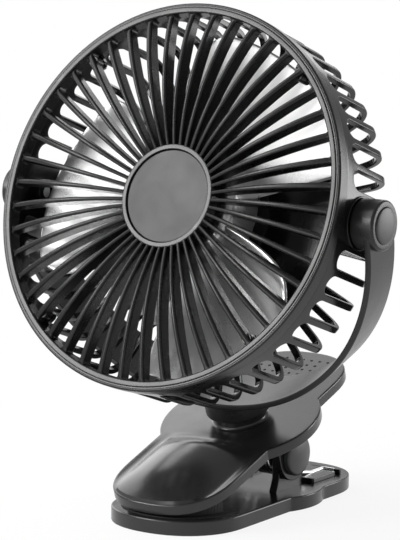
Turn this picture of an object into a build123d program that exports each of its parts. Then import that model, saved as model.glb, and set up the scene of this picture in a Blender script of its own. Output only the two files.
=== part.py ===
"""Clip fan: a round fan head held in a ring bracket that swivels on a spring clip.

Millimetres. The origin is on the floor straight below the head's pivot, +Z up, front -Y.
"""

from build123d import *
import os
from math import acos, atan2, cos, degrees, hypot, pi, radians, sin, sqrt, tan

os.makedirs("parts", exist_ok=True)

# ---------------------------------------------------------------- driving dimensions
tilt = 19.0                # the head looks up and the stand leans forward by this angle
pivot_height = 161.8       # head pivot above the floor
run_gap = 0.3              # gap between two bodies that move past each other
shaft_gap = 0.05           # radial clearance of a turning shaft

# grille, in head coordinates: radius from the fan axis, depth forward of the pivot
rim_radius = 100.0
rim_inner = 94.7
rim_front = 26.3
rim_back = 18.3
bar_count = 46
first_bar = 7.9
gap_corner = 1.8
bar_half_hub = 0.95
bar_half_rim = 1.6
hub_radius = 26.8
badge_radius = 24.0
badge_seat = 21.6

# fan housing
wall_radius = 99.4
wall = 3.0
slot_front = 10.9
slot_count = bar_count
rib_half = 1.75
housing_back = -30.1
corner_radius = 12.0
slot_inner = 65.0
drum_radius = 13.5
drum_face = wall_radius + 0.5

# impeller and motor
cup_radius = 32.6
cup_wall = 2.2
cup_front = 14.0
cup_back = -10.8
blade_tip = 88.0
blade_back = -12.0
blade_front = 12.0
blade_thickness = 1.8
shaft_radius = 2.0
tube_radius = 6.5
bearing_radius = 4.0
flange_radius = 30.0
flange_front = -24.8
stator_radius = 24.8
magnet_inner = 25.4

# ring bracket, in stand coordinates
ring_outer = 110.4
ring_inner = 107.2
barrel_radius = 12.7
barrel_end = ring_outer + 2.8
pin_seat = barrel_end - 5.2
cap_seat = barrel_end - 1.0
pin_radius = 3.0
collar_radius = 17.4
collar_bottom = -ring_outer - 10.3
collar_height = 13.0
bolt_seat = collar_bottom + 10.5
pan_offset = 6.8
pan_radius = 5.0

# upper jaw, in stand coordinates
jaw_top = -126.1
jaw_bottom = -131.8
jaw_ceiling = -127.9
jaw_cover_top = -130.4
jaw_skin = 2.4
tongue_half = 33.5
tongue_start = -49.0
tongue_nose = 36.4
disc_radius = 43.0
disc_centre = 6.5
lever_half = 31.5
lever_start = 51.0
lever_nose = 31.0
neck_radius = 14.0
neck_top = -121.0

# lower jaw and hinge, in floor coordinates
plate_thickness = 7.6
plate_half = 36.4
plate_front_start = -5.1
plate_front_nose = 35.9
plate_back_start = 85.0
plate_back_nose = 36.0
plate_disc_radius = 40.0
hinge_y = 57.0
hinge_z = 26.6
ear_radius = 13.8
ear_inner = 24.8
ear_outer = 28.4
lug_inner = 20.0
lug_outer = 24.5
coil_radius = 8.8
wire_radius = 1.1

# ---------------------------------------------------------------- working planes
lean = radians(tilt)
pivot = Vector(0, 0, pivot_height)
head_forward = Vector(0, -cos(lean), sin(lean))
head_up = Vector(0, sin(lean), cos(lean))
stand_up = Vector(0, -sin(lean), cos(lean))
stand_back = Vector(0, cos(lean), sin(lean))
HEAD = Plane(origin=pivot, x_dir=(1, 0, 0), z_dir=head_forward)
HEAD_CUT = Plane(origin=pivot, x_dir=(1, 0, 0), z_dir=-head_up)
HEAD_AXIS = Axis(pivot, head_forward)
STAND = Plane(origin=pivot, x_dir=(1, 0, 0), z_dir=stand_up)
STAND_FRONT = Plane(origin=pivot, x_dir=(1, 0, 0), z_dir=-stand_back)
STAND_SIDE = Plane(origin=pivot, x_dir=stand_back, z_dir=(1, 0, 0))
HINGE_SIDE = Plane(origin=(0, hinge_y, hinge_z), x_dir=(0, 1, 0), z_dir=(1, 0, 0))


def head_point(radius, angle, forward):
    """A point of the head from its radius, its angle in degrees and its depth."""
    turn = radians(angle)
    sideways = Vector(radius * cos(turn), 0, 0)
    return pivot + sideways + head_up * (radius * sin(turn)) + head_forward * forward


def stand_point(x, back, up):
    """A point of the leaning stand from its width, depth and height."""
    return pivot + Vector(x, 0, 0) + stand_back * back + stand_up * up


def side_plane(x, side=1, centre=pivot):
    """A plane square to X at the given distance, looking outward on that side."""
    return Plane(origin=(side * x, centre.Y, centre.Z), x_dir=(0, side, 0), z_dir=(side, 0, 0))


def dome_arc(radius, rim, crown):
    """The arc from a shallow dome's rim to its crown, square to the axis."""
    rise = abs(crown - rim)
    ball = (radius ** 2 + rise ** 2) / (2 * rise)
    middle = ball - sqrt(ball ** 2 - radius ** 2 / 4)
    toward_rim = 1 if rim > crown else -1
    return ThreePointArc((radius, rim), (radius / 2, crown + toward_rim * middle), (0, crown))


def nose_points(half_width, start, length, exponent, steps=12):
    """Points over a rounded nose, from its right side round to its left side."""
    points = []
    for step in range(2 * steps + 1):
        turn = pi * step / (2 * steps)
        across = abs(cos(turn)) ** (2 / exponent) * half_width
        along = abs(sin(turn)) ** (2 / exponent) * length
        points.append((across if turn < pi / 2 else -across, start + along))
    return points


def nose_outline(half_width, start, length, exponent, root):
    """The face of a tongue that ends in a rounded nose."""
    forward = 1 if length > 0 else -1
    points = nose_points(half_width, start, length, exponent)
    with BuildSketch() as outline:
        with BuildLine():
            Spline(*points, tangents=[(0, forward), (0, -forward)])
            Polyline(points[-1], (-half_width, root), (half_width, root), points[0])
        make_face()
    return outline.sketch


def jaw_outline(inset):
    """The upper jaw's plan: tongue, round middle and thumb lever."""
    tongue = nose_outline(tongue_half - inset, tongue_start, inset - tongue_nose, 2.6, 0)
    lever = nose_outline(lever_half - inset, lever_start, lever_nose - inset, 2.6, 0)
    with BuildSketch() as outline:
        add(tongue)
        add(lever)
        with Locations((0, disc_centre)):
            Circle(disc_radius - inset)
    return outline.sketch


def plate_outline(inset):
    """The lower jaw's plan."""
    front = nose_outline(plate_half - inset, plate_front_start, inset - plate_front_nose, 2.2, 50)
    back = nose_outline(plate_half - inset, plate_back_start, plate_back_nose - inset, 2.6, 50)
    with BuildSketch() as outline:
        add(front)
        add(back)
        with Locations((0, hinge_y)):
            Circle(plate_disc_radius - inset)
    return outline.sketch


# ================================================================ HEAD
bar_pitch = 360 / bar_count
boss_radius = rim_inner - 3.7
boss_angles = [first_bar + bar_pitch * bar for bar in (5, 16, 28, 39)]

# one gap between two bars, long way outward, with round outer corners
with BuildSketch() as bar_gap:
    half_pitch = pi / bar_count
    gap_inner = hub_radius - 0.6
    gap_outer = rim_inner + 0.3
    inner_y = gap_inner * sin(half_pitch) - bar_half_hub * cos(half_pitch)
    outer_y = gap_outer * sin(half_pitch) - bar_half_rim * cos(half_pitch)
    with BuildLine():
        Polyline(
            (gap_inner, inner_y),
            (gap_outer, outer_y),
            (gap_outer, -outer_y),
            (gap_inner, -inner_y),
            close=True,
        )
    make_face()
    fillet(bar_gap.vertices().group_by(Axis.X)[-1], gap_corner)

# front grille: rim, hub and forward-bulging bars moulded in one piece
with BuildPart(HEAD) as front_grille:
    with BuildSketch(HEAD_CUT):
        with BuildLine():
            ThreePointArc((25.0, 24.8), (62.0, 30.2), (rim_inner + 1, 24.7))
            Line((rim_inner + 1, 24.7), (rim_inner + 1, rim_back + 0.2))
            ThreePointArc((rim_inner + 1, rim_back + 0.2), (62.0, 22.2), (25.0, rim_back))
            Line((25.0, rim_back), (25.0, 24.8))
        make_face()
    revolve(axis=HEAD_AXIS)
    with PolarLocations(0, bar_count, start_angle=first_bar + bar_pitch / 2):
        add(bar_gap.sketch)
    extrude(amount=40, mode=Mode.SUBTRACT)
    with BuildSketch(HEAD_CUT):
        with BuildLine():
            Polyline(
                (rim_inner, rim_back),
                (rim_radius, rim_back),
                (rim_radius, 25.2),
                (98.9, rim_front),
                (96.0, rim_front),
                (rim_inner, 24.9),
                close=True,
            )
        make_face()
        with BuildLine():
            Polyline(
                (0, rim_back),
                (hub_radius, rim_back),
                (hub_radius, 24.4),
                (26.2, 25.0),
                (24.6, 25.0),
                (badge_radius, 24.4),
                (badge_radius, badge_seat),
                (0, badge_seat),
                close=True,
            )
        make_face()
    revolve(axis=HEAD_AXIS)
    with BuildSketch(HEAD.offset(rim_back)):
        for boss_angle in boss_angles:
            with PolarLocations(boss_radius, 1, start_angle=boss_angle):
                Circle(2.9)
    extrude(amount=5.4)
    with BuildSketch(HEAD.offset(rim_back)):
        for boss_angle in boss_angles:
            with PolarLocations(boss_radius, 1, start_angle=boss_angle):
                Circle(1.2)
    extrude(amount=4.0, mode=Mode.SUBTRACT)
front_grille.part.label = "front_grille"
export_step(front_grille.part, "parts/front_grille.step")

# plain dished disc in the middle of the grille
with BuildPart() as hub_badge:
    with BuildSketch(HEAD_CUT):
        with BuildLine():
            Polyline((0, badge_seat), (badge_radius, badge_seat), (badge_radius, 23.5), (23.5, 24.0))
            dome_arc(23.5, 24.0, 23.2)
            Line((0, 23.2), (0, badge_seat))
        make_face()
    revolve(axis=HEAD_AXIS)
hub_badge.part.label = "hub_badge"
export_step(hub_badge.part, "parts/hub_badge.step")

# one housing slot: it starts round at the front, runs back and turns in over the rear face
slot_half_pitch = pi / slot_count
slot_inner_y = slot_inner * sin(slot_half_pitch) - rib_half * cos(slot_half_pitch)
slot_outer_y = wall_radius * sin(slot_half_pitch) - rib_half * cos(slot_half_pitch)
slot_round = slot_front - slot_outer_y
with BuildPart() as slot_tool:
    with BuildSketch(Plane.XY.offset(housing_back - 1)):
        with BuildLine():
            Polyline(
                (slot_inner, slot_inner_y),
                (wall_radius, slot_outer_y),
                (wall_radius + 4, slot_outer_y),
                (wall_radius + 4, -slot_outer_y),
                (wall_radius, -slot_outer_y),
                (slot_inner, -slot_inner_y),
                close=True,
            )
        make_face()
    extrude(amount=slot_round - housing_back + 1)
    with BuildSketch(Plane(origin=(wall_radius - 10, 0, slot_round), x_dir=(0, 1, 0), z_dir=(1, 0, 0))):
        Circle(slot_outer_y)
    extrude(amount=14)

# fan housing: front band, slotted wall, slotted rear face and the two pivot drums
slot_pitch = 360 / slot_count
slots_a_side = slot_count // 2 - 2
lug_length = wall_radius - wall + 0.8 - (boss_radius - 2.5)
lug_middle = boss_radius - 2.5 + lug_length / 2
with BuildPart(HEAD) as fan_housing:
    with BuildSketch(HEAD_CUT):
        inner_radius = wall_radius - wall
        arc_centre = wall_radius - corner_radius
        rear_inside = housing_back + wall
        half = sqrt(0.5)
        with BuildLine():
            Polyline(
                (8.0, housing_back),
                (arc_centre, housing_back),
            )
            ThreePointArc(
                (arc_centre, housing_back),
                (arc_centre + corner_radius * half, housing_back + corner_radius * (1 - half)),
                (wall_radius, housing_back + corner_radius),
            )
            Polyline(
                (wall_radius, housing_back + corner_radius),
                (wall_radius, rim_back),
                (inner_radius, rim_back),
                (inner_radius, housing_back + corner_radius),
            )
            inside_corner = corner_radius - wall
            ThreePointArc(
                (inner_radius, housing_back + corner_radius),
                (arc_centre + inside_corner * half, rear_inside + inside_corner * (1 - half)),
                (arc_centre, rear_inside),
            )
            Polyline((arc_centre, rear_inside), (8.0, rear_inside), (8.0, housing_back))
        make_face()
    revolve(axis=HEAD_AXIS)
    for half_turn in (0, 180):
        first_slot = half_turn + 1.5 * slot_pitch
        with PolarLocations(0, slots_a_side, first_slot, (slots_a_side - 1) * slot_pitch, endpoint=True):
            add(slot_tool.part, mode=Mode.SUBTRACT)
    for side in (1, -1):
        with BuildSketch(side_plane(drum_face - 5.7, side)):
            Circle(drum_radius)
        extrude(amount=5.7)
        with BuildSketch(side_plane(drum_face - 7.5, side)):
            Circle(6.5)
        extrude(amount=3)
        with BuildSketch(side_plane(drum_face - 9.3, side)):
            Circle(pin_radius)
        extrude(amount=12, mode=Mode.SUBTRACT)
    with BuildSketch(HEAD.offset(rim_back)):
        for boss_angle in boss_angles:
            with PolarLocations(lug_middle, 1, start_angle=boss_angle):
                Rectangle(lug_length, 6.0)
    extrude(amount=-3.0)
    with BuildSketch(HEAD.offset(rim_back)):
        for boss_angle in boss_angles:
            with PolarLocations(boss_radius, 1, start_angle=boss_angle):
                Circle(1.2)
    extrude(amount=-6.0, mode=Mode.SUBTRACT)
    with BuildSketch(HEAD.offset(housing_back)):
        with PolarLocations(24, 3, start_angle=30):
            Circle(1.3)
        with PolarLocations(36, 3, start_angle=90):
            Circle(1.3)
    extrude(amount=wall, mode=Mode.SUBTRACT)
fan_housing.part.label = "fan_housing"
export_step(fan_housing.part, "parts/fan_housing.step")

# four screws that hold the grille, driven from inside the housing's lugs
with BuildPart() as grille_screws:
    with BuildSketch(HEAD.offset(rim_back - 3.0)):
        for boss_angle in boss_angles:
            with PolarLocations(boss_radius, 1, start_angle=boss_angle):
                Circle(2.2)
    extrude(amount=-1.4)
    with BuildSketch(HEAD.offset(rim_back - 3.0)):
        for boss_angle in boss_angles:
            with PolarLocations(boss_radius, 1, start_angle=boss_angle):
                Circle(1.2)
    extrude(amount=6.6)
grille_screws.part.label = "grille_screws"
export_step(grille_screws.part, "parts/grille_screws.step")

# motor mount: flange on the housing's rear plate with the bearing tube
with BuildPart() as motor_mount:
    with BuildSketch(HEAD_CUT):
        with BuildLine():
            Polyline(
                (bearing_radius, rear_inside),
                (flange_radius, rear_inside),
                (flange_radius, flange_front),
                (tube_radius + 3, flange_front),
                (tube_radius, flange_front + 4),
                (tube_radius, 5.0),
                (bearing_radius, 5.0),
                close=True,
            )
        make_face()
    revolve(axis=HEAD_AXIS)
    with BuildSketch(HEAD.offset(flange_front)):
        with PolarLocations(24, 3, start_angle=30):
            Circle(1.3)
    extrude(amount=-4, mode=Mode.SUBTRACT)
motor_mount.part.label = "motor_mount"
export_step(motor_mount.part, "parts/motor_mount.step")

# three screws through the motor flange
with BuildPart() as motor_screws:
    with BuildSketch(HEAD.offset(flange_front)):
        with PolarLocations(24, 3, start_angle=30):
            Circle(2.6)
    extrude(amount=1.7)
    with BuildSketch(HEAD.offset(flange_front)):
        with PolarLocations(24, 3, start_angle=30):
            Circle(1.3)
    extrude(amount=-4.9)
motor_screws.part.label = "motor_screws"
export_step(motor_screws.part, "parts/motor_screws.step")

# plain bearing at the front of the tube
with BuildPart() as front_bearing:
    with BuildSketch(HEAD.offset(1.0)):
        Circle(bearing_radius)
        Circle(shaft_radius + shaft_gap, mode=Mode.SUBTRACT)
    extrude(amount=3.7)
front_bearing.part.label = "front_bearing"
export_step(front_bearing.part, "parts/front_bearing.step")

# plain bearing at the back of the tube
with BuildPart() as rear_bearing:
    with BuildSketch(HEAD.offset(-13.9)):
        Circle(bearing_radius)
        Circle(shaft_radius + shaft_gap, mode=Mode.SUBTRACT)
    extrude(amount=3.5)
rear_bearing.part.label = "rear_bearing"
export_step(rear_bearing.part, "parts/rear_bearing.step")

# stator core: nine poles on a ring pressed over the tube
with BuildPart() as stator_core:
    with BuildSketch(HEAD.offset(-7.0)):
        Circle(11.0)
        with PolarLocations(15.0, 9):
            Rectangle(14.0, 4.0)
        with PolarLocations(0, 9, start_angle=20):
            with BuildLine():
                pole_turn = radians(16)
                Polyline(
                    (22.0 * cos(pole_turn), -22.0 * sin(pole_turn)),
                    (stator_radius * cos(pole_turn), -stator_radius * sin(pole_turn)),
                )
                ThreePointArc(
                    (stator_radius * cos(pole_turn), -stator_radius * sin(pole_turn)),
                    (stator_radius, 0),
                    (stator_radius * cos(pole_turn), stator_radius * sin(pole_turn)),
                )
                Line(
                    (stator_radius * cos(pole_turn), stator_radius * sin(pole_turn)),
                    (22.0 * cos(pole_turn), 22.0 * sin(pole_turn)),
                )
                ThreePointArc(
                    (22.0 * cos(pole_turn), 22.0 * sin(pole_turn)),
                    (22.0, 0),
                    (22.0 * cos(pole_turn), -22.0 * sin(pole_turn)),
                )
            make_face()
        Circle(tube_radius, mode=Mode.SUBTRACT)
    extrude(amount=10.0)
stator_core.part.label = "stator_core"
export_step(stator_core.part, "parts/stator_core.step")

# nine coils, one round each pole
with BuildPart() as windings:
    with BuildSketch(HEAD.offset(-9.0)):
        with PolarLocations(17.4, 9):
            RectangleRounded(8.0, 8.0, 1.5)
    extrude(amount=14.0)
    with BuildSketch(HEAD.offset(-7.0)):
        with PolarLocations(17.4, 9):
            Rectangle(9.0, 4.0)
    extrude(amount=10.0, mode=Mode.SUBTRACT)
windings.part.label = "windings"
export_step(windings.part, "parts/windings.step")

# motor driver board behind the housing's rear plate
with BuildPart() as driver_board:
    with BuildSketch(HEAD.offset(housing_back)):
        Circle(27.0)
    extrude(amount=-1.6)
driver_board.part.label = "driver_board"
export_step(driver_board.part, "parts/driver_board.step")

# push switch in the middle of the board
with BuildPart() as tact_switch:
    with BuildSketch(HEAD.offset(housing_back - 1.6)):
        Rectangle(6.0, 6.0)
    extrude(amount=-1.4)
    with BuildSketch(HEAD.offset(housing_back - 3.0)):
        Circle(1.7)
    extrude(amount=-0.6)
tact_switch.part.label = "tact_switch"
export_step(tact_switch.part, "parts/tact_switch.step")

# round rear cover over the board, with a hole for the power button and one for the lens
cover_back = -38.1
cover_skin = 2.0
button_radius = 7.0
with BuildPart(HEAD) as rear_cover:
    with BuildSketch(HEAD_CUT):
        with BuildLine():
            Polyline(
                (42.0, housing_back),
                (42.0, -33.0),
            )
            ThreePointArc((42.0, -33.0), (40.5, -36.6), (37.0, cover_back))
            Polyline(
                (37.0, cover_back),
                (button_radius + run_gap, cover_back),
                (button_radius + run_gap, cover_back + cover_skin),
                (36.8, cover_back + cover_skin),
                (40.0, -33.0),
                (40.0, housing_back),
                (42.0, housing_back),
            )
        make_face()
    revolve(axis=HEAD_AXIS)
    with BuildSketch(HEAD.offset(housing_back)):
        with PolarLocations(36, 3, start_angle=90):
            Circle(3.2)
    extrude(amount=-7.0)
    with BuildSketch(HEAD.offset(housing_back)):
        with PolarLocations(36, 3, start_angle=90):
            Circle(1.3)
    extrude(amount=-9.0, mode=Mode.SUBTRACT)
    with BuildSketch(HEAD.offset(cover_back)):
        with PolarLocations(36, 3, start_angle=90):
            Circle(2.5)
        with Locations((0, 18)):
            Circle(1.6)
    extrude(amount=1.6, mode=Mode.SUBTRACT)
    with BuildSketch(HEAD.offset(cover_back)):
        with Locations((0, 18)):
            Circle(1.6)
    extrude(amount=cover_skin, mode=Mode.SUBTRACT)
rear_cover.part.label = "rear_cover"
export_step(rear_cover.part, "parts/rear_cover.step")

# three screws through the rear cover into the housing plate
with BuildPart() as rear_cover_screws:
    with BuildSketch(HEAD.offset(cover_back + 0.2)):
        with PolarLocations(36, 3, start_angle=90):
            Circle(2.5)
    extrude(amount=1.4)
    with BuildSketch(HEAD.offset(cover_back + 1.6)):
        with PolarLocations(36, 3, start_angle=90):
            Circle(1.3)
    extrude(amount=8.8)
rear_cover_screws.part.label = "rear_cover_screws"
export_step(rear_cover_screws.part, "parts/rear_cover_screws.step")

# small lens of the battery light
with BuildPart() as indicator_lens:
    with BuildSketch(HEAD.offset(cover_back - 0.2)):
        with Locations((0, 18)):
            Circle(1.6)
    extrude(amount=cover_skin + 0.2)
indicator_lens.part.label = "indicator_lens"
export_step(indicator_lens.part, "parts/indicator_lens.step")

# power button: it slides in the cover's hole towards the switch
button_travel = 0.8
with BuildPart() as power_button:
    with BuildSketch(HEAD_CUT):
        with BuildLine():
            Polyline(
                (0, -39.4),
                (6.2, -39.4),
                (button_radius, -38.6),
                (button_radius, cover_back + cover_skin + run_gap),
                (8.6, cover_back + cover_skin + run_gap),
                (8.6, cover_back + cover_skin + run_gap + 1.0),
                (2.0, cover_back + cover_skin + run_gap + 1.0),
                (2.0, housing_back - 3.6 - button_travel - 0.2),
                (0, housing_back - 3.6 - button_travel - 0.2),
                close=True,
            )
        make_face()
    revolve(axis=HEAD_AXIS)
power_button.part.label = "power_button"
export_step(power_button.part, "parts/power_button.step")

# ---------------------------------------------------------------- impeller
shaft_tip = cup_front - cup_wall
with BuildPart() as motor_shaft:
    with BuildSketch(HEAD_CUT):
        with BuildLine():
            Polyline(
                (0, -18.0),
                (1.6, -18.0),
                (shaft_radius, -17.6),
                (shaft_radius, -14.9),
                (1.5, -14.9),
                (1.5, -14.2),
                (shaft_radius, -14.2),
                (shaft_radius, shaft_tip),
                (0, shaft_tip),
                close=True,
            )
        make_face()
    revolve(axis=HEAD_AXIS)
motor_shaft.part.label = "motor_shaft"
export_step(motor_shaft.part, "parts/motor_shaft.step")

# clip in the shaft's groove behind the rear bearing
with BuildPart() as shaft_clip:
    with BuildSketch(HEAD.offset(-14.9)):
        Circle(3.4)
        Circle(1.5, mode=Mode.SUBTRACT)
        with Locations((0, -2.6)):
            Rectangle(1.6, 3.0, mode=Mode.SUBTRACT)
    extrude(amount=0.7)
shaft_clip.part.label = "shaft_clip"
export_step(shaft_clip.part, "parts/shaft_clip.step")

# ring magnet inside the impeller's cup
with BuildPart() as rotor_ring:
    with BuildSketch(HEAD.offset(-9.0)):
        Circle(cup_radius - cup_wall)
        Circle(magnet_inner, mode=Mode.SUBTRACT)
    extrude(amount=15.0)
rotor_ring.part.label = "rotor_ring"
export_step(rotor_ring.part, "parts/rotor_ring.step")


def blade_sweep(radius):
    """How far a blade reaches round at a radius, in degrees: the front edge curves back."""
    out = (radius - cup_radius) / (blade_tip - cup_radius)
    return 84.0 - 4.0 * out - 9.0 * max(out, 0) ** 4


# impeller: cup over the motor with three broad twisted blades
with BuildPart(HEAD) as impeller:
    for blade in range(3):
        rows = []
        for radial_step in range(8):
            radius = 30.5 + (blade_tip + 2 - 30.5) * radial_step / 7
            row = []
            for turn_step in range(10):
                along = turn_step / 9
                turn = 18.0 + 120.0 * blade + blade_sweep(radius) * along
                row.append(head_point(radius, turn, blade_back + (blade_front - blade_back) * along))
            rows.append(row)
        thicken(Face.make_surface_from_array_of_points(rows), amount=blade_thickness / 2, both=True)
    with BuildSketch(HEAD.offset(-16)):
        Circle(blade_tip)
        Circle(cup_radius - 1, mode=Mode.SUBTRACT)
    extrude(amount=32, mode=Mode.INTERSECT)
    with BuildSketch(HEAD_CUT):
        with BuildLine():
            Polyline(
                (shaft_radius, shaft_tip),
                (shaft_radius, 5.8),
                (5.0, 5.8),
                (5.0, cup_front - cup_wall),
                (cup_radius - cup_wall, cup_front - cup_wall),
                (cup_radius - cup_wall, cup_back),
                (cup_radius, cup_back),
                (cup_radius, cup_front - 4.0),
            )
            ThreePointArc(
                (cup_radius, cup_front - 4.0),
                (cup_radius - 4.0 * (1 - half), cup_front - 4.0 * (1 - half)),
                (cup_radius - 4.0, cup_front),
            )
            Polyline((cup_radius - 4.0, cup_front), (0, cup_front), (0, shaft_tip), (shaft_radius, shaft_tip))
        make_face()
    revolve(axis=HEAD_AXIS)
impeller.part.label = "impeller"
export_step(impeller.part, "parts/impeller.step")

# ================================================================ RING BRACKET
washer_recess = 0.9
with BuildPart() as bracket:
    with BuildSketch(STAND_FRONT):
        Circle(ring_outer)
        Circle(ring_inner, mode=Mode.SUBTRACT)
        Rectangle(240, 120, align=(Align.CENTER, Align.MIN), mode=Mode.SUBTRACT)
    extrude(amount=21, both=True)
    with BuildSketch(STAND_SIDE):
        with BuildLine():
            Line((-12.5, 0), (12.5, 0))
            Spline(
                (12.5, 0),
                (12.5, -30),
                (13.6, -62),
                (16.8, -96),
                (20.0, -ring_outer - 1.6),
                tangents=[(0, -1), (0.3, -1)],
            )
            Line((20.0, -ring_outer - 1.6), (-13.8, -ring_outer - 1.6))
            Line((-13.8, -ring_outer - 1.6), (-12.5, 0))
        make_face()
    extrude(amount=ring_outer + 5.6, both=True, mode=Mode.INTERSECT)
    for side in (1, -1):
        with BuildSketch(side_plane(drum_face + run_gap, side)):
            Circle(barrel_radius)
        extrude(amount=barrel_end - drum_face - run_gap)
    fillet(bracket.edges().filter_by(GeomType.CIRCLE).group_by(Axis.X)[0], 1.4)
    fillet(bracket.edges().filter_by(GeomType.CIRCLE).group_by(Axis.X)[-1], 1.4)
    for side in (1, -1):
        with BuildSketch(side_plane(drum_face, side)):
            Circle(pin_radius + shaft_gap)
        extrude(amount=12, mode=Mode.SUBTRACT)
        with BuildSketch(side_plane(drum_face, side)):
            Circle(8.5)
        extrude(amount=run_gap + washer_recess, mode=Mode.SUBTRACT)
        with BuildSketch(side_plane(pin_seat, side)):
            Circle(6.2)
        extrude(amount=4.2, mode=Mode.SUBTRACT)
        with BuildSketch(side_plane(cap_seat, side)):
            Circle(9.2)
        extrude(amount=2, mode=Mode.SUBTRACT)
    with BuildSketch(STAND.offset(collar_bottom)):
        with Locations((0, pan_offset)):
            Circle(collar_radius)
    extrude(amount=collar_height)
    with BuildSketch(STAND.offset(collar_bottom)):
        with Locations((0, pan_offset)):
            Circle(pan_radius)
    extrude(amount=collar_height + 3, mode=Mode.SUBTRACT)
    with BuildSketch(STAND.offset(bolt_seat)):
        with Locations((0, pan_offset)):
            Circle(8.0)
    extrude(amount=6, mode=Mode.SUBTRACT)
bracket.part.label = "bracket"
export_step(bracket.part, "parts/bracket.step")

# pivot pins: shoulder screws fixed in the head's drums, turning in the bracket's barrels
with BuildPart() as pivot_pins:
    for side in (1, -1):
        with BuildSketch(side_plane(drum_face - 7.3, side)):
            Circle(pin_radius)
        extrude(amount=pin_seat + run_gap - drum_face + 7.3)
        with BuildSketch(side_plane(pin_seat + run_gap, side)):
            Circle(5.6)
            RegularPolygon(2.0, 6, mode=Mode.SUBTRACT)
        extrude(amount=2.5)
pivot_pins.part.label = "pivot_pins"
export_step(pivot_pins.part, "parts/pivot_pins.step")

# friction washers between drum and barrel
with BuildPart() as friction_washers:
    for side in (1, -1):
        with BuildSketch(side_plane(drum_face, side)):
            Circle(8.0)
            Circle(pin_radius, mode=Mode.SUBTRACT)
        extrude(amount=washer_recess)
friction_washers.part.label = "friction_washers"
export_step(friction_washers.part, "parts/friction_washers.step")

# slightly domed caps that hide the pivot pins
with BuildPart() as pivot_caps:
    with BuildSketch(Plane(origin=pivot, x_dir=(0, 1, 0), z_dir=(0, 0, 1))):
        with BuildLine():
            Polyline((0, -cap_seat), (9.2, -cap_seat), (9.2, -cap_seat - 1.3))
            ThreePointArc((9.2, -cap_seat - 1.3), (8.9, -cap_seat - 1.7), (8.2, -cap_seat - 1.8))
            dome_arc(8.2, -cap_seat - 1.8, -cap_seat - 2.3)
            Line((0, -cap_seat - 2.3), (0, -cap_seat))
        make_face()
    revolve(axis=Axis(pivot, (1, 0, 0)))
    mirror(about=Plane.YZ)
pivot_caps.part.label = "pivot_caps"
export_step(pivot_caps.part, "parts/pivot_caps.step")

# pan bolt: holds the bracket on the clip and is the axle it turns on
with BuildPart() as pan_bolt:
    with BuildSketch(STAND.offset(-133.4)):
        with Locations((0, pan_offset)):
            Circle(pan_radius)
    extrude(amount=bolt_seat + 133.4)
    with BuildSketch(STAND.offset(bolt_seat)):
        with Locations((0, pan_offset)):
            Circle(8.0)
            RegularPolygon(3.0, 6, mode=Mode.SUBTRACT)
    extrude(amount=2.4)
pan_bolt.part.label = "pan_bolt"
export_step(pan_bolt.part, "parts/pan_bolt.step")

# washer between the bracket's collar and the clip's neck
with BuildPart() as pan_washer:
    with BuildSketch(STAND.offset(-121.9)):
        with Locations((0, pan_offset)):
            Circle(11.5)
            Circle(pan_radius, mode=Mode.SUBTRACT)
    extrude(amount=1.2)
pan_washer.part.label = "pan_washer"
export_step(pan_washer.part, "parts/pan_washer.step")

# nut under the clip's top wall
with BuildPart() as pan_nut:
    with BuildSketch(STAND.offset(-132.9)):
        with Locations((0, pan_offset)):
            RegularPolygon(8.5, 6, major_radius=False)
            Circle(pan_radius, mode=Mode.SUBTRACT)
    extrude(amount=3.4)
pan_nut.part.label = "pan_nut"
export_step(pan_nut.part, "parts/pan_nut.step")

# ================================================================ UPPER JAW
hump_centre = -47.0
hump_length = 24.0
hump_half = 29.5
hump_height = 10.0
hump_skin = 2.0
screw_places = [(27.0, -27.0), (-27.0, -27.0), (24.0, 40.0), (-24.0, 40.0)]
hinge_back = hinge_y * cos(lean) + (hinge_z - pivot_height) * sin(lean)
hinge_up = -hinge_y * sin(lean) + (hinge_z - pivot_height) * cos(lean)


def dome(half_width, length, height, base):
    """A low crosswise dome on the tongue, as a solid."""
    with BuildPart() as shape:
        with BuildSketch(Plane.XZ):
            Ellipse(1.0, height)
            Rectangle(3, 3 * height, align=(Align.MAX, Align.CENTER), mode=Mode.SUBTRACT)
            Rectangle(3, 3 * height, align=(Align.CENTER, Align.MAX), mode=Mode.SUBTRACT)
        revolve(axis=Axis.Z)
        scale(by=(half_width, length, 1))
    return Plane(STAND.location * Location((0, hump_centre, base))).location * shape.part


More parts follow.
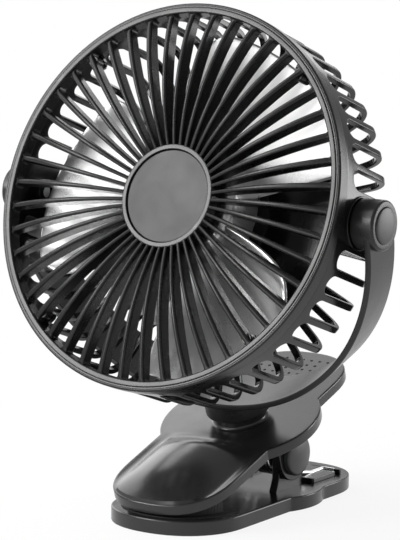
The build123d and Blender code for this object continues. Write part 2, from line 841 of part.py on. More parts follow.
grip_step = 5.2
grip_rows = 5
grip_columns = 9
grip_first = 52.0
with BuildPart() as upper_jaw:
    with BuildSketch(STAND.offset(jaw_bottom)):
        add(jaw_outline(0))
    extrude(amount=jaw_top - jaw_bottom)
    with BuildSketch(STAND.offset(jaw_top)):
        with Locations((0, pan_offset)):
            Circle(neck_radius)
    extrude(amount=neck_top - jaw_top)
    round_edges = upper_jaw.edges().filter_by(GeomType.CIRCLE)
    neck_edges = round_edges.filter_by(lambda edge: abs(edge.radius - neck_radius) < 0.01)
    fillet(neck_edges.sort_by(Axis(pivot, stand_up))[0], 4.5)
    add(dome(hump_half, hump_length, hump_height, jaw_top))
    with BuildSketch(STAND.offset(jaw_bottom)):
        add(jaw_outline(jaw_skin))
    extrude(amount=jaw_ceiling - jaw_bottom, mode=Mode.SUBTRACT)
    hollow = dome(hump_half - hump_skin, hump_length - hump_skin, hump_height - hump_skin, jaw_top - 0.5)
    add(hollow, mode=Mode.SUBTRACT)
    with BuildSketch(STAND.offset(jaw_ceiling)):
        with Locations((0, hump_centre)):
            Ellipse(hump_half - hump_skin - 0.4, hump_length - hump_skin - 0.4)
    extrude(amount=jaw_top - 0.4 - jaw_ceiling, mode=Mode.SUBTRACT)
    with BuildSketch(STAND.offset(jaw_ceiling)):
        with Locations((0, pan_offset)):
            Circle(12.0)
    extrude(amount=-1.3)
    with BuildSketch(STAND.offset(jaw_cover_top)):
        with Locations(*screw_places):
            Circle(2.8)
    extrude(amount=jaw_ceiling - jaw_cover_top)
    for side in (1, -1):
        with BuildSketch(HINGE_SIDE.offset(side * (ear_inner + ear_outer) / 2)):
            with Locations(Location((0, 0), tilt)):
                Circle(ear_radius)
                with Locations((0, 0)):
                    Rectangle(2 * ear_radius, jaw_ceiling - hinge_up, align=(Align.CENTER, Align.MIN))
        extrude(amount=(ear_outer - ear_inner) / 2, both=True)
        with BuildSketch(HINGE_SIDE.offset(side * (ear_inner + ear_outer) / 2)):
            Circle(pin_radius + shaft_gap)
        extrude(amount=(ear_outer - ear_inner), both=True, mode=Mode.SUBTRACT)
    with BuildSketch(STAND.offset(-135)):
        with Locations((0, pan_offset)):
            Circle(pan_radius + shaft_gap)
    extrude(amount=20, mode=Mode.SUBTRACT)
    with BuildSketch(STAND.offset(-122.2)):
        with Locations((0, pan_offset)):
            Circle(12.0)
    extrude(amount=2, mode=Mode.SUBTRACT)
    with BuildSketch(STAND.offset(jaw_top)):
        with Locations((0, grip_first + grip_step * (grip_rows - 1) / 2)):
            with GridLocations(grip_step, grip_step, grip_columns, grip_rows):
                Circle(0.9)
    extrude(amount=-0.8, mode=Mode.SUBTRACT)
    with BuildSketch(STAND.offset(jaw_cover_top)):
        with Locations((0, 80)):
            Rectangle(7.5, 8)
    extrude(amount=2.5, mode=Mode.SUBTRACT)
    with BuildSketch(STAND.offset(jaw_cover_top)):
        with Locations(*screw_places):
            Circle(1.2)
    extrude(amount=3.4, mode=Mode.SUBTRACT)
upper_jaw.part.label = "upper_jaw"
export_step(upper_jaw.part, "parts/upper_jaw.step")

# cover that closes the upper jaw from below
with BuildPart() as jaw_cover:
    with BuildSketch(STAND.offset(jaw_bottom)):
        add(jaw_outline(jaw_skin))
        with Locations((0, pan_offset)):
            Circle(11.5, mode=Mode.SUBTRACT)
        for side in (1, -1):
            with Locations((side * (ear_inner + ear_outer) / 2, hinge_back)):
                Rectangle(ear_outer - ear_inner, 2 * ear_radius, mode=Mode.SUBTRACT)
        with Locations(*screw_places):
            Circle(1.2, mode=Mode.SUBTRACT)
    extrude(amount=jaw_cover_top - jaw_bottom)
    with BuildSketch(STAND.offset(jaw_bottom)):
        with Locations(*screw_places):
            Circle(2.3)
    extrude(amount=0.9, mode=Mode.SUBTRACT)
jaw_cover.part.label = "jaw_cover"
export_step(jaw_cover.part, "parts/jaw_cover.step")

# four countersunk cover screws
with BuildPart() as cover_screws:
    with BuildSketch(STAND.offset(jaw_bottom + 0.1)):
        with Locations(*screw_places):
            Circle(2.3)
    extrude(amount=0.8)
    with BuildSketch(STAND.offset(jaw_bottom + 0.9)):
        with Locations(*screw_places):
            Circle(1.2)
    extrude(amount=3.6)
cover_screws.part.label = "cover_screws"
export_step(cover_screws.part, "parts/cover_screws.step")

# flat battery cell under the hump
with BuildPart() as battery_cell:
    with BuildSketch(STAND.offset(jaw_cover_top)):
        with Locations((0, hump_centre)):
            RectangleRounded(34.0, 26.0, 3.0)
    extrude(amount=8.0)
battery_cell.part.label = "battery_cell"
export_step(battery_cell.part, "parts/battery_cell.step")

# charging board in the lever
with BuildPart() as charge_board:
    with BuildSketch(STAND.offset(jaw_cover_top)):
        with Locations((0, 60)):
            Rectangle(30.0, 30.0)
        with Locations((0, 75)):
            Rectangle(7.5, 4.0, mode=Mode.SUBTRACT)
    extrude(amount=1.0)
charge_board.part.label = "charge_board"
export_step(charge_board.part, "parts/charge_board.step")

# charging inlet in the lever's rear edge
with BuildPart() as usb_inlet:
    with BuildSketch(STAND.offset(jaw_cover_top)):
        with Locations((0, 77.35)):
            Rectangle(7.5, 8.7)
    extrude(amount=2.5)
    with BuildSketch(STAND.offset(jaw_cover_top + 0.4)):
        with Locations((0, 78.7)):
            Rectangle(6.7, 6.2)
    extrude(amount=1.7, mode=Mode.SUBTRACT)
    with BuildSketch(STAND.offset(jaw_cover_top + 1.2)):
        with Locations((0, 77.5)):
            Rectangle(4.4, 4.0)
    extrude(amount=0.5)
usb_inlet.part.label = "usb_inlet"
export_step(usb_inlet.part, "parts/usb_inlet.step")

# rubber dots let into the lever's top
with BuildPart() as grip_dots:
    with BuildSketch(STAND.offset(jaw_top - 0.8)):
        with Locations((0, grip_first + grip_step * (grip_rows - 1) / 2)):
            with GridLocations(grip_step, grip_step, grip_columns, grip_rows):
                Circle(0.9)
    extrude(amount=1.0)
grip_dots.part.label = "grip_dots"
export_step(grip_dots.part, "parts/grip_dots.step")


def pad_face_height(back):
    """Stand height of the upper pad's lower face, which lies flat on the lower pad."""
    return (plate_thickness + 0.7 - pivot_height - back * sin(lean)) / cos(lean)


# wedge pad under the tongue's nose
pad_back = -58.0
with BuildPart() as upper_pad:
    with BuildSketch(STAND.offset(jaw_bottom)):
        add(nose_outline(tongue_half - 6, tongue_start, 6 - tongue_nose, 2.6, -48))
    extrude(amount=-20)
    with BuildSketch(STAND_SIDE):
        with BuildLine():
            Polyline(
                (-85, jaw_bottom),
                (pad_back, jaw_bottom),
                (pad_back, pad_face_height(pad_back)),
                (-85, pad_face_height(-85)),
                close=True,
            )
        make_face()
    extrude(amount=40, both=True, mode=Mode.INTERSECT)
upper_pad.part.label = "upper_pad"
export_step(upper_pad.part, "parts/upper_pad.step")

# the spring's pushing legs: a turn round the sleeve on each side and a loop under the lever
leg_back = 40.0
leg_up = jaw_bottom - wire_radius
leg_length = hypot(leg_back - hinge_back, leg_up - hinge_up)
leg_turn = atan2(leg_up - hinge_up, leg_back - hinge_back) + acos(coil_radius / leg_length)
leg_x = 3.2
leg_wrap = radians(340)


def coil_point(x, turn):
    """A point of the coil's middle line, by its angle round the hinge in the stand frame."""
    return stand_point(x, hinge_back + coil_radius * cos(turn), hinge_up + coil_radius * sin(turn))


with BuildPart() as spring_legs:
    with BuildLine() as leg_path:
        ThreePointArc(*[coil_point(leg_x, leg_turn + leg_wrap * part) for part in (1, 0.5, 0)])
        FilletPolyline(
            coil_point(leg_x, leg_turn),
            stand_point(leg_x, leg_back, leg_up),
            stand_point(-leg_x, leg_back, leg_up),
            coil_point(-leg_x, leg_turn),
            radius=2.5,
        )
        ThreePointArc(*[coil_point(-leg_x, leg_turn + leg_wrap * part) for part in (0, 0.5, 1)])
        leg_wire = leg_path.wire()
    with BuildSketch(Plane(origin=leg_wire @ 0, z_dir=leg_wire % 0)):
        Circle(wire_radius)
    sweep(path=leg_wire)
spring_legs.part.label = "spring_legs"
export_step(spring_legs.part, "parts/spring_legs.step")

# ================================================================ LOWER JAW
block_front = 75.0
block_back = 104.0
block_inner = 10.0
block_outer = 29.0
block_height = 4.0
leg_slot_x = 18.3
slot_floor = plate_thickness + 1.5
pocket_depth = 1.2
foot_depth = 1.5
with BuildPart() as lower_jaw:
    with BuildSketch(Plane.XY):
        add(plate_outline(0))
    extrude(amount=plate_thickness)
    with BuildSketch(Plane.XY):
        add(plate_outline(4))
    extrude(amount=foot_depth, mode=Mode.SUBTRACT)
    with BuildSketch(Plane.XY):
        add(plate_outline(8))
    extrude(amount=4.4, mode=Mode.SUBTRACT)
    with BuildSketch(Plane.XY.offset(foot_depth)):
        with Locations((0, 30), (0, 84)):
            Rectangle(2.0, 60)
        with Locations((0, 10), (0, 44), (0, 70), (0, 100)):
            Rectangle(66, 2.0)
    extrude(amount=3.5)
    with BuildSketch(Plane.XY.offset(plate_thickness)):
        add(nose_outline(plate_half - 5, plate_front_start, 5 - plate_front_nose, 2.2, 0))
    extrude(amount=-pocket_depth, mode=Mode.SUBTRACT)
    for side in (1, -1):
        with BuildSketch(HINGE_SIDE.offset(side * (lug_inner + lug_outer) / 2)):
            Circle(ear_radius)
            Rectangle(2 * ear_radius, hinge_z - plate_thickness, align=(Align.CENTER, Align.MAX))
            Circle(pin_radius, mode=Mode.SUBTRACT)
        extrude(amount=(lug_outer - lug_inner) / 2, both=True)
        with BuildSketch(Plane.XY.offset(plate_thickness)):
            with Locations((side * (block_inner + block_outer) / 2, (block_front + block_back) / 2)):
                RectangleRounded(block_outer - block_inner, block_back - block_front, 2.5)
        extrude(amount=block_height)
        with BuildSketch(Plane.XY.offset(slot_floor)):
            with Locations((side * leg_slot_x, 88)):
                Rectangle(3.2, 28)
            with Locations((side * 22.6, 100)):
                Rectangle(11.8, 4.0)
        extrude(amount=4, mode=Mode.SUBTRACT)
lower_jaw.part.label = "lower_jaw"
export_step(lower_jaw.part, "parts/lower_jaw.step")

# rubber pad in the plate's top
with BuildPart() as lower_pad:
    with BuildSketch(Plane.XY.offset(plate_thickness - pocket_depth)):
        add(nose_outline(plate_half - 5, plate_front_start, 5 - plate_front_nose, 2.2, 0))
    extrude(amount=pocket_depth + 0.4)
lower_pad.part.label = "lower_pad"
export_step(lower_pad.part, "parts/lower_pad.step")

# rubber foot under the plate
with BuildPart() as foot_pad:
    with BuildSketch(Plane.XY):
        add(plate_outline(4))
    extrude(amount=foot_depth)
foot_pad.part.label = "foot_pad"
export_step(foot_pad.part, "parts/foot_pad.step")

# hinge pin through lugs and ears
with BuildPart() as hinge_pin:
    with BuildSketch(HINGE_SIDE):
        Circle(pin_radius)
    extrude(amount=30, both=True)
hinge_pin.part.label = "hinge_pin"
export_step(hinge_pin.part, "parts/hinge_pin.step")

# domed caps pressed on the pin's ends
cap_inner = ear_outer + run_gap
with BuildPart() as hinge_caps:
    with BuildSketch(Plane(origin=(0, hinge_y, hinge_z), x_dir=(0, 1, 0), z_dir=(0, 0, 1))):
        with BuildLine():
            Polyline(
                (0, -30.0),
                (pin_radius, -30.0),
                (pin_radius, -cap_inner),
                (11.0, -cap_inner),
                (11.0, -30.4),
            )
            ThreePointArc((11.0, -30.4), (10.4, -31.3), (9.2, -31.8))
            dome_arc(9.2, -31.8, -32.9)
            Line((0, -32.9), (0, -30.0))
        make_face()
    revolve(axis=Axis((0, hinge_y, hinge_z), (1, 0, 0)))
    mirror(about=Plane.YZ)
hinge_caps.part.label = "hinge_caps"
export_step(hinge_caps.part, "parts/hinge_caps.step")

# nylon sleeve that carries the spring on the pin
with BuildPart() as spring_sleeve:
    with BuildSketch(HINGE_SIDE):
        Circle(7.3)
        Circle(pin_radius, mode=Mode.SUBTRACT)
    extrude(amount=19.6, both=True)
spring_sleeve.part.label = "spring_sleeve"
export_step(spring_sleeve.part, "parts/spring_sleeve.step")

# torsion spring: a coil each side whose outer leg runs back into the block's slot and hooks outward
coil_start = 5.8
coil_end = 17.2
coil_turns = 5
wire_floor = slot_floor + wire_radius
rear_y = 88.0
rear_reach = hypot(rear_y - hinge_y, wire_floor - hinge_z)
rear_turn = atan2(wire_floor - hinge_z, rear_y - hinge_y) - acos(coil_radius / rear_reach)
rear_start = Vector(coil_end, hinge_y + coil_radius * cos(rear_turn), hinge_z + coil_radius * sin(rear_turn))
coil_pitch = (coil_end - coil_start) / coil_turns
coil_lean = Vector(coil_pitch / (2 * pi), -coil_radius * sin(rear_turn), coil_radius * cos(rear_turn))
rear_run = coil_lean.normalized()
rear_corner = rear_start + coil_lean * sqrt(rear_reach ** 2 - coil_radius ** 2) * (1 / coil_radius)
hinge_axis = Axis((0, hinge_y, hinge_z), (1, 0, 0))

# the coil is drawn with its ends at the top, and is turned to meet the leg further down
with BuildPart() as coil_wire:
    with BuildLine() as coil_path:
        centre = (coil_start, hinge_y, hinge_z)
        coil = Helix(coil_pitch, coil_end - coil_start, coil_radius, center=centre, direction=(1, 0, 0))
    with BuildSketch(Plane(origin=coil @ 0, z_dir=coil % 0)):
        Circle(wire_radius)
    sweep(path=coil_path.wire(), is_frenet=True)

with BuildPart() as torsion_spring:
    add(coil_wire.part.rotate(hinge_axis, degrees(rear_turn) - 90))
    with BuildLine() as rear_leg:
        FilletPolyline(
            rear_start,
            rear_corner,
            (rear_corner.X, 100, wire_floor),
            (26.5, 100, wire_floor),
            radius=1.8,
        )
    with BuildSketch(Plane(origin=rear_start, z_dir=rear_run)):
        Circle(wire_radius)
    sweep(path=rear_leg.wire())
    mirror(about=Plane.YZ)
torsion_spring.part.label = "torsion_spring"
export_step(torsion_spring.part, "parts/torsion_spring.step")
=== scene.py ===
import math

import bmesh
import bpy
from mathutils import Matrix, Vector


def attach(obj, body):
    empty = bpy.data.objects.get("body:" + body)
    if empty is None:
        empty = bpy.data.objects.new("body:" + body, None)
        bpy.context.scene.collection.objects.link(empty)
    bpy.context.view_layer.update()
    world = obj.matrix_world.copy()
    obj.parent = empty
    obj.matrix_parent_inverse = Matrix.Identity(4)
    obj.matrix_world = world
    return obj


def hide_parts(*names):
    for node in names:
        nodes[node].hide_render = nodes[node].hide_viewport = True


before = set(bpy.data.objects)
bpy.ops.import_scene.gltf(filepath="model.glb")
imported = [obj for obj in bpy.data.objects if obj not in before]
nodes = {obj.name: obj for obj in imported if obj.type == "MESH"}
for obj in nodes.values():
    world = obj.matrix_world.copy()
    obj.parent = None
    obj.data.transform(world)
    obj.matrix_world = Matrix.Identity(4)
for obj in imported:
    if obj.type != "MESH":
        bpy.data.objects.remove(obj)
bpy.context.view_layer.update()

# ---------------------------------------------------------------------------
# Front grille: rim, hub and forty-six bars that bulge forward, injection moulded in
# one piece in satin black ABS. Four screws from behind hold it on the housing.
lean = math.radians(19)
pivot = Vector((0, 0, 161.8))
sideways = Vector((1, 0, 0))
head_forward = Vector((0, -math.cos(lean), math.sin(lean)))
head_up = Vector((0, math.sin(lean), math.cos(lean)))


class Value:
    """A number that changes over a surface; arithmetic on it adds Math nodes to its paint."""

    def __init__(self, paint, socket):
        self.paint = paint
        self.socket = socket

    def maths(self, operation, first, second):
        return self.paint.node("ShaderNodeMath", {"operation": operation}, {0: first, 1: second})

    def __add__(self, other):
        return self.maths("ADD", self, other)

    def __sub__(self, other):
        return self.maths("SUBTRACT", self, other)

    def __mul__(self, other):
        return self.maths("MULTIPLY", self, other)

    def __rsub__(self, other):
        return self.maths("SUBTRACT", other, self)

    __radd__ = __add__
    __rmul__ = __mul__

    def step(self, low, high):
        """This value's rise from 0 to 1 between two levels."""
        sockets = {"Value": self, "From Min": low, "From Max": high}
        return self.paint.node("ShaderNodeMapRange", {"interpolation_type": "SMOOTHSTEP"}, sockets)


class Paint:
    """A procedural finish: it makes the shader's nodes and joins them."""

    def __init__(self, name, metal=0.0, shine=0.36):
        self.material = bpy.data.materials.new(name)
        self.material.use_nodes = True
        self.tree = self.material.node_tree
        self.shader = self.tree.nodes["Principled BSDF"]
        self.shader.inputs["Metallic"].default_value = metal
        self.shader.inputs["Specular IOR Level"].default_value = 0.5 if metal else shine
        self.place = self.node("ShaderNodeTexCoord", out="Object")

    def node(self, kind, settings=None, sockets=None, out=0):
        """Adds a node, sets it up and then fills or links its sockets."""
        made = self.tree.nodes.new(kind)
        for name, value in (settings or {}).items():
            setattr(made, name, value)
        for name, value in (sockets or {}).items():
            if isinstance(value, Value):
                self.tree.links.new(value.socket, made.inputs[name])
            else:
                made.inputs[name].default_value = value
        return Value(self, made.outputs[out])

    def noise(self, size, detail, rough=0.5):
        """Cloudy noise with lumps about this many millimetres wide, from 0 to 1."""
        sockets = {"Vector": self.place, "Scale": 1000 / size, "Detail": detail, "Roughness": rough}
        return self.node("ShaderNodeTexNoise", {}, sockets)

    def blend(self, share, first, second):
        """A colour that goes from the first to the second as the share goes from 0 to 1."""
        first, second = (end if isinstance(end, Value) else (*end, 1) for end in (first, second))
        return self.node("ShaderNodeMix", {"data_type": "RGBA"}, {0: share, 6: first, 7: second}, 2)

    def finish(self, colour, roughness, height=None, depth=0.00002):
        """Joins the colour, the roughness and the relief to the shader."""
        self.tree.links.new(colour.socket, self.shader.inputs["Base Color"])
        self.tree.links.new(roughness.socket, self.shader.inputs["Roughness"])
        if height:
            bump = self.node("ShaderNodeBump", {}, {"Height": height, "Distance": depth, "Strength": 0.5})
            self.tree.links.new(bump.socket, self.shader.inputs["Normal"])
        return self.material


def moulded(name, shade, gloss, grain=0.45, depth=0.00001, shine=0.36):
    """Moulded plastic: faint flow clouds, handled patches, spark-eroded grain, and convex edges painted
    lighter, partly as rubbed wear and partly as a painted edge highlight.
    """
    paint = Paint(name, shine=shine)
    clouds = paint.noise(38, 4)
    smears = paint.noise(16, 5, 0.6)
    texture = paint.noise(grain, 2)
    # Convex edges are painted lighter in patches: partly rubbed wear, partly a painted highlight along the
    # edges.
    worn_and_highlit_edges = paint.node("ShaderNodeNewGeometry", out="Pointiness").step(0.53, 0.62)
    deep, full, worn_highlit_tone = ((level,) * 3 for level in (shade * 0.82, shade * 1.18, shade * 1.5 + 0.012))
    colour = paint.blend(worn_and_highlit_edges * smears.step(0.35, 0.7) * 0.7, paint.blend(clouds, deep, full), worn_highlit_tone)
    roughness = (smears - 0.5) * 0.16 + (texture - 0.5) * 0.08 + worn_and_highlit_edges * -0.06 + gloss
    return paint.finish(colour, roughness, texture, depth)


def between(ends, share):
    """The value at a share of the way from the first end to the second."""
    return ends[0] + (ends[1] - ends[0]) * share


def rounded(corners, radii, steps=4):
    """The corners of an outline with arcs of the given radii in their place."""
    outline = []
    for index, radius in enumerate(radii):
        corner = Vector(corners[index])
        if not radius:
            outline.append(corner)
            continue
        before = (Vector(corners[index - 1]) - corner).normalized()
        after = (Vector(corners[(index + 1) % len(corners)]) - corner).normalized()
        half = before.angle(after) / 2
        reach = radius / math.tan(half)
        centre = corner + (before + after).normalized() * (radius / math.sin(half))
        sweep = math.pi - 2 * half
        for step in range(steps + 1):
            share = step / steps
            start = (before * reach + corner - centre) * math.sin((1 - share) * sweep)
            end = (after * reach + corner - centre) * math.sin(share * sweep)
            outline.append(centre + (start + end) / math.sin(sweep))
    return outline


class Piece:
    """Gathers the points and faces of one piece in millimetres."""

    def __init__(self):
        self.points = []
        self.faces = []

    def skin(self, rows, closed=True, first_end=False, last_end=False):
        """Joins loops of equally many points by quads, each to the next."""
        start = len(self.points)
        count = len(rows[0])
        for row in rows:
            self.points.extend(row)
        for row in range(len(rows) - 1):
            for column in range(count if closed else count - 1):
                here = start + row * count + column
                beside = start + row * count + (column + 1) % count
                self.faces.append((here, beside, beside + count, here + count))
        if first_end:
            self.faces.append(tuple(range(start, start + count)))
        if last_end:
            self.faces.append(tuple(range(len(self.points) - count, len(self.points))))

    def lathe(self, outline, place, segments=128):
        """Turns a closed outline of (radius, depth) points round an axis."""
        rows = []
        for radius, depth in [*outline, outline[0]]:
            rows.append([place(math.tau * step / segments, radius, depth) for step in range(segments)])
        self.skin(rows)

    def lathe_both(self, outline, place, segments):
        """Turns an outline of (radius, distance sideways) points on either side of the middle."""
        for side in (1, -1):
            self.lathe([(radius, side * x) for radius, x in outline], place, segments)

    def make(self, name, material, body, *stands_for, slot, sharp=42):
        """Makes the piece's object, rides it on its body and hides the nodes it stands for."""
        mesh = bpy.data.meshes.new(name)
        mesh.from_pydata([Vector(point) * 0.001 for point in self.points], [], self.faces)
        work = bmesh.new()
        work.from_mesh(mesh)
        bmesh.ops.remove_doubles(work, verts=work.verts, dist=0.000004)
        bmesh.ops.dissolve_degenerate(work, edges=work.edges, dist=0.000001)
        bmesh.ops.recalc_face_normals(work, faces=work.faces)
        for face in work.faces:
            face.smooth = True
        work.to_mesh(mesh)
        work.free()
        mesh.set_sharp_from_angle(angle=math.radians(sharp))
        mesh.materials.append(material)
        piece = bpy.data.objects.new(name, mesh)
        bpy.context.scene.collection.objects.link(piece)
        even = piece.modifiers.new("even_shading", "WEIGHTED_NORMAL")
        even.keep_sharp = True
        even.weight = 80
        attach(piece, body)
        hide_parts(*stands_for)


def round_head(turn, radius, depth):
    """A point of the head by its angle, its radius and its depth forward of the pivot."""
    return pivot + (sideways * math.cos(turn) + head_up * math.sin(turn)) * radius + head_forward * depth


def bow(radius, low, middle, high):
    """Depth at a radius on the circle through three (radius, depth) points."""
    (ax, ay), (bx, by), (cx, cy) = low, middle, high
    span = 2 * (ax * (by - cy) + bx * (cy - ay) + cx * (ay - by))
    a, b, c = ax * ax + ay * ay, bx * bx + by * by, cx * cx + cy * cy
    x = (a * (by - cy) + b * (cy - ay) + c * (ay - by)) / span
    y = (a * (cx - bx) + b * (ax - cx) + c * (bx - ax)) / span
    return y + math.sqrt((ax - x) ** 2 + (ay - y) ** 2 - (radius - x) ** 2)


face_black = moulded("face_black", 0.007, 0.28)

bar_count = 46
bar_pitch = math.tau / bar_count
first_bar = math.radians(7.9)
grille_back = 18.3
rim_inner, rim_outer, rim_front, rim_crest = 94.7, 100, 25.7, 26.3
hub_radius, hub_bore, hub_front, disc_seat = 26.8, 24.1, 25.1, 21.6

grille = Piece()
rim = [(rim_inner, grille_back), (rim_outer, grille_back), (rim_outer, rim_front), (98.75, rim_front)]
rim += [(98.5, 25.95), (97.9, 25.95), (97.65, 25.75), (97.4, rim_crest), (rim_inner, rim_crest)]
grille.lathe(rounded(rim, (0.2, 0.5, 0.9, 0.1, 0.15, 0.15, 0.1, 0.3, 0.9)), round_head, 256)
hub = [(0, grille_back), (hub_radius, grille_back), (hub_radius, hub_front)]
hub += [(hub_bore, hub_front), (hub_bore, disc_seat), (0, disc_seat)]
grille.lathe(rounded(hub, (0, 0.3, 0.7, 0.4, 0, 0)), round_head)

# A bar is a little wider and rounder at the rim than at the hub, and flares where it
# meets the rim. Its front and its back each follow a circle through three points.
bar_halves, crown_radii = (0.95, 1.6), (0.9, 1.45)
front_bow = (25.0, 24.8), (62.0, 30.2), (95.7, 24.7)
back_bow = (25.0, 18.3), (62.0, 22.2), (95.7, 18.5)
even_start, even_end = 25.2, 92.4
flare_start, flare_reach, flare_radius = 92.9, 1.76, 1.8
bar_stations = [between((even_start, even_end), step / 26) for step in range(27)]
bar_stations += [flare_start, 93.4, 93.9, 94.3, flare_start + flare_reach, 95.6]
for bar in range(bar_count):
    turn = first_bar + bar_pitch * bar
    outward = sideways * math.cos(turn) + head_up * math.sin(turn)
    across = head_up * math.cos(turn) - sideways * math.sin(turn)
    rows = []
    for radius in bar_stations:
        share = (radius - hub_radius) / (rim_inner - hub_radius)
        flare = min(max(radius - flare_start, 0), flare_reach)
        half = between(bar_halves, share) + flare_radius - math.sqrt(flare_radius**2 - flare**2)
        front, back = bow(radius, *front_bow), bow(radius, *back_bow)
        crown = between(crown_radii, share)
        corners = [(-half, back), (half, back), (half, front), (-half, front)]
        section = rounded(corners, (0.3, 0.3, crown, crown), 5)
        rows.append([pivot + outward * radius + across * x + head_forward * depth for x, depth in section])
    grille.skin(rows, first_end=True, last_end=True)

# Four bosses behind the rim take the screws.
boss_turns = [first_bar + bar_pitch * bar for bar in (5, 16, 28, 39)]
boss_place, boss_radius, boss_front = 91, 2.9, 23.7
boss = [(0, grille_back), (boss_radius, grille_back), (boss_radius, boss_front), (0, boss_front)]
for turn in boss_turns:
    from_pivot = round_head(turn, boss_place, 0) - pivot
    rows = []
    for radius, depth in rounded(boss, (0, 0.2, 0.5, 0)):
        rows.append([from_pivot + round_head(math.tau * step / 24, radius, depth) for step in range(24)])
    grille.skin(rows)
grille.make("grille_moulding", face_black, "head_body", "front_grille", slot="black_plastic")


# ---------------------------------------------------------------------------
# Hub disc: a plain, slightly dished disc in satin grey ABS with a small rounded edge,
# pressed into the grille's hub.
def dished(radius, middle, rise, first, steps):
    """Points over a shallow dish or dome, from near its edge to its middle."""
    shares = [1 - step / steps for step in range(first, steps + 1)]
    return [(radius * share, middle + rise * share**2) for share in shares]


disc_grey = moulded("disc_grey", 0.03, 0.42, 0.3)
disc_radius, disc_middle, disc_rise = 24.0, 23.25, 0.75
disc = [(0, disc_seat), (disc_radius, disc_seat), (disc_radius, 23.5), (23.8, 23.85), (23.4, 24.0)]
disc += dished(disc_radius, disc_middle, disc_rise, 2, 12)
hub_disc = Piece()
hub_disc.lathe(disc, round_head, 160)
hub_disc.make("hub_disc", disc_grey, "head_body", "hub_badge", slot="grey_plastic")

# ---------------------------------------------------------------------------
# Fan housing: a deep drum in glossy black ABS, one moulding with the grille's seat at
# the front, forty-two slots that run back and over its rear face, and two pivot drums.
shell_black = moulded("shell_black", 0.009, 0.17, 0.6, 0.000004, 0.3)

wall, drum_radius, straight, bend_radius = 3.0, 99.4, 36.4, 12
bend = bend_radius * math.pi / 2
plate_radius = drum_radius - bend_radius
slot_places = 46
slot_pitch = math.tau / slot_places
slot_tip, slot_half, slot_inner, end_half, rib_half = 7.4, 5.037, 65.0, 2.69, 1.7455
slot_end = straight + bend + plate_radius - slot_inner


def drum_wall(run, depth):
    """Radius and depth of a point of the drum's wall, by its run along it and its depth inside."""
    if run < straight:
        return drum_radius - depth, grille_back - run
    if run < straight + bend:
        turn = (run - straight) / bend_radius
        reach = bend_radius - depth
        return plate_radius + reach * math.cos(turn), grille_back - straight - reach * math.sin(turn)
    return plate_radius - (run - straight - bend), grille_back - straight - bend_radius + depth


def drum_point(centre_turn, aside, run, depth):
    """A point of the drum's wall, aside from the middle of a slot."""
    radius, level = drum_wall(run, depth)
    return round_head(centre_turn + math.asin(aside / drum_wall(run, 0)[0]), radius, level)


def slot_border(run):
    """Half the distance between the middles of a slot's two ribs."""
    return drum_wall(run, 0)[0] * math.sin(slot_pitch / 2)


# Runs go from the drum's front edge, back along its side and in over the rear plate.
side_start, plate_start, end_start = slot_tip + slot_half, straight + bend, slot_end - end_half
wall_runs = [between((side_start, straight), step / 6) for step in range(1, 6)]
wall_runs += [straight + bend * step / 10 for step in range(11)]
wall_runs += [between((plate_start, end_start), step / 6) for step in range(1, 6)]
row_top, row_bottom = slot_tip - 2.2, slot_end + 2.2
top_runs = [0.4, 2.8, row_top]
plate_runs = [row_bottom, 88, 98, 110, 122, 134.6]
full_runs = top_runs + [slot_tip] + wall_runs + plate_runs
front_lip = [(0.4, 0), (0.12, 0.12), (0, 0.4), (0, 2.7), (0.4, wall)]

# A slot's rounded edges: how far outside the slot each loop runs, and how deep.
slot_edges = [(None, 0), (0.6, 0), (0.3, 0.08), (0.08, 0.3), (0, 0.6)]
slot_edges += [(0, 2.6), (0.12, 2.88), (0.4, wall), (None, wall)]


def slot_loop(edge, depth, centre_turn):
    """A loop round a slot, the given distance outside its edge or on its ribs' middles."""
    right = []
    for step in range(9):
        turn = math.pi / 2 * (1 - step / 8)
        if edge is None:
            run = between((row_top, side_start), max(step / 4 - 1, 0))
            right.append((slot_border(run) * min(step / 4, 1), run))
        else:
            reach = slot_half + edge
            right.append((reach * math.cos(turn), side_start - reach * math.sin(turn)))
    for run in wall_runs:
        border = slot_border(run)
        right.append((border if edge is None else border - rib_half + edge, run))
    for step in range(9):
        turn = math.pi / 2 * step / 8
        if edge is None:
            run = between((end_start, row_bottom), min(step / 4, 1))
            right.append((slot_border(run) * min(2 - step / 4, 1), run))
        else:
            reach = end_half + edge
            right.append((reach * math.cos(turn), end_start + reach * math.sin(turn)))
    left = [(-aside, run) for aside, run in right[-2:0:-1]]
    return [drum_point(centre_turn, aside, run, depth) for aside, run in right + left]


def wall_strip(piece, centre_turn, places):
    """Skins the drum's wall between two ribs' middles, through places of (run, depth)."""
    rows = []
    for run, depth in places:
        asides = [slot_border(run) * step / 4 for step in range(-4, 5)]
        rows.append([drum_point(centre_turn, aside, run, depth) for aside in asides])
    piece.skin(rows, closed=False)


def round_side(turn, radius, x):
    """A point round the tilt axis, by its angle, its radius and its distance sideways."""
    return pivot + Vector((x, radius * math.cos(turn), radius * math.sin(turn)))


beside_pivots = (0, 22, 23, 45)
housing = Piece()
for place in range(slot_places):
    centre_turn = (place + 0.5) * slot_pitch
    bands = [full_runs]
    if place not in beside_pivots:
        bands = [top_runs, plate_runs]
        housing.skin([slot_loop(edge, depth, centre_turn) for edge, depth in slot_edges])
    for runs in bands:
        for depth in (0, wall):
            wall_strip(housing, centre_turn, [(run, depth) for run in runs])
    wall_strip(housing, centre_turn, front_lip)
pivot_drum = [(3.0, 92.4), (6.5, 92.4), (6.5, 96.6), (13.5, 96.6), (13.5, 99.9), (3.0, 99.9)]
housing.lathe_both(rounded(pivot_drum, (0, 0.4, 0, 0.4, 0.3, 0.2)), round_side, 72)

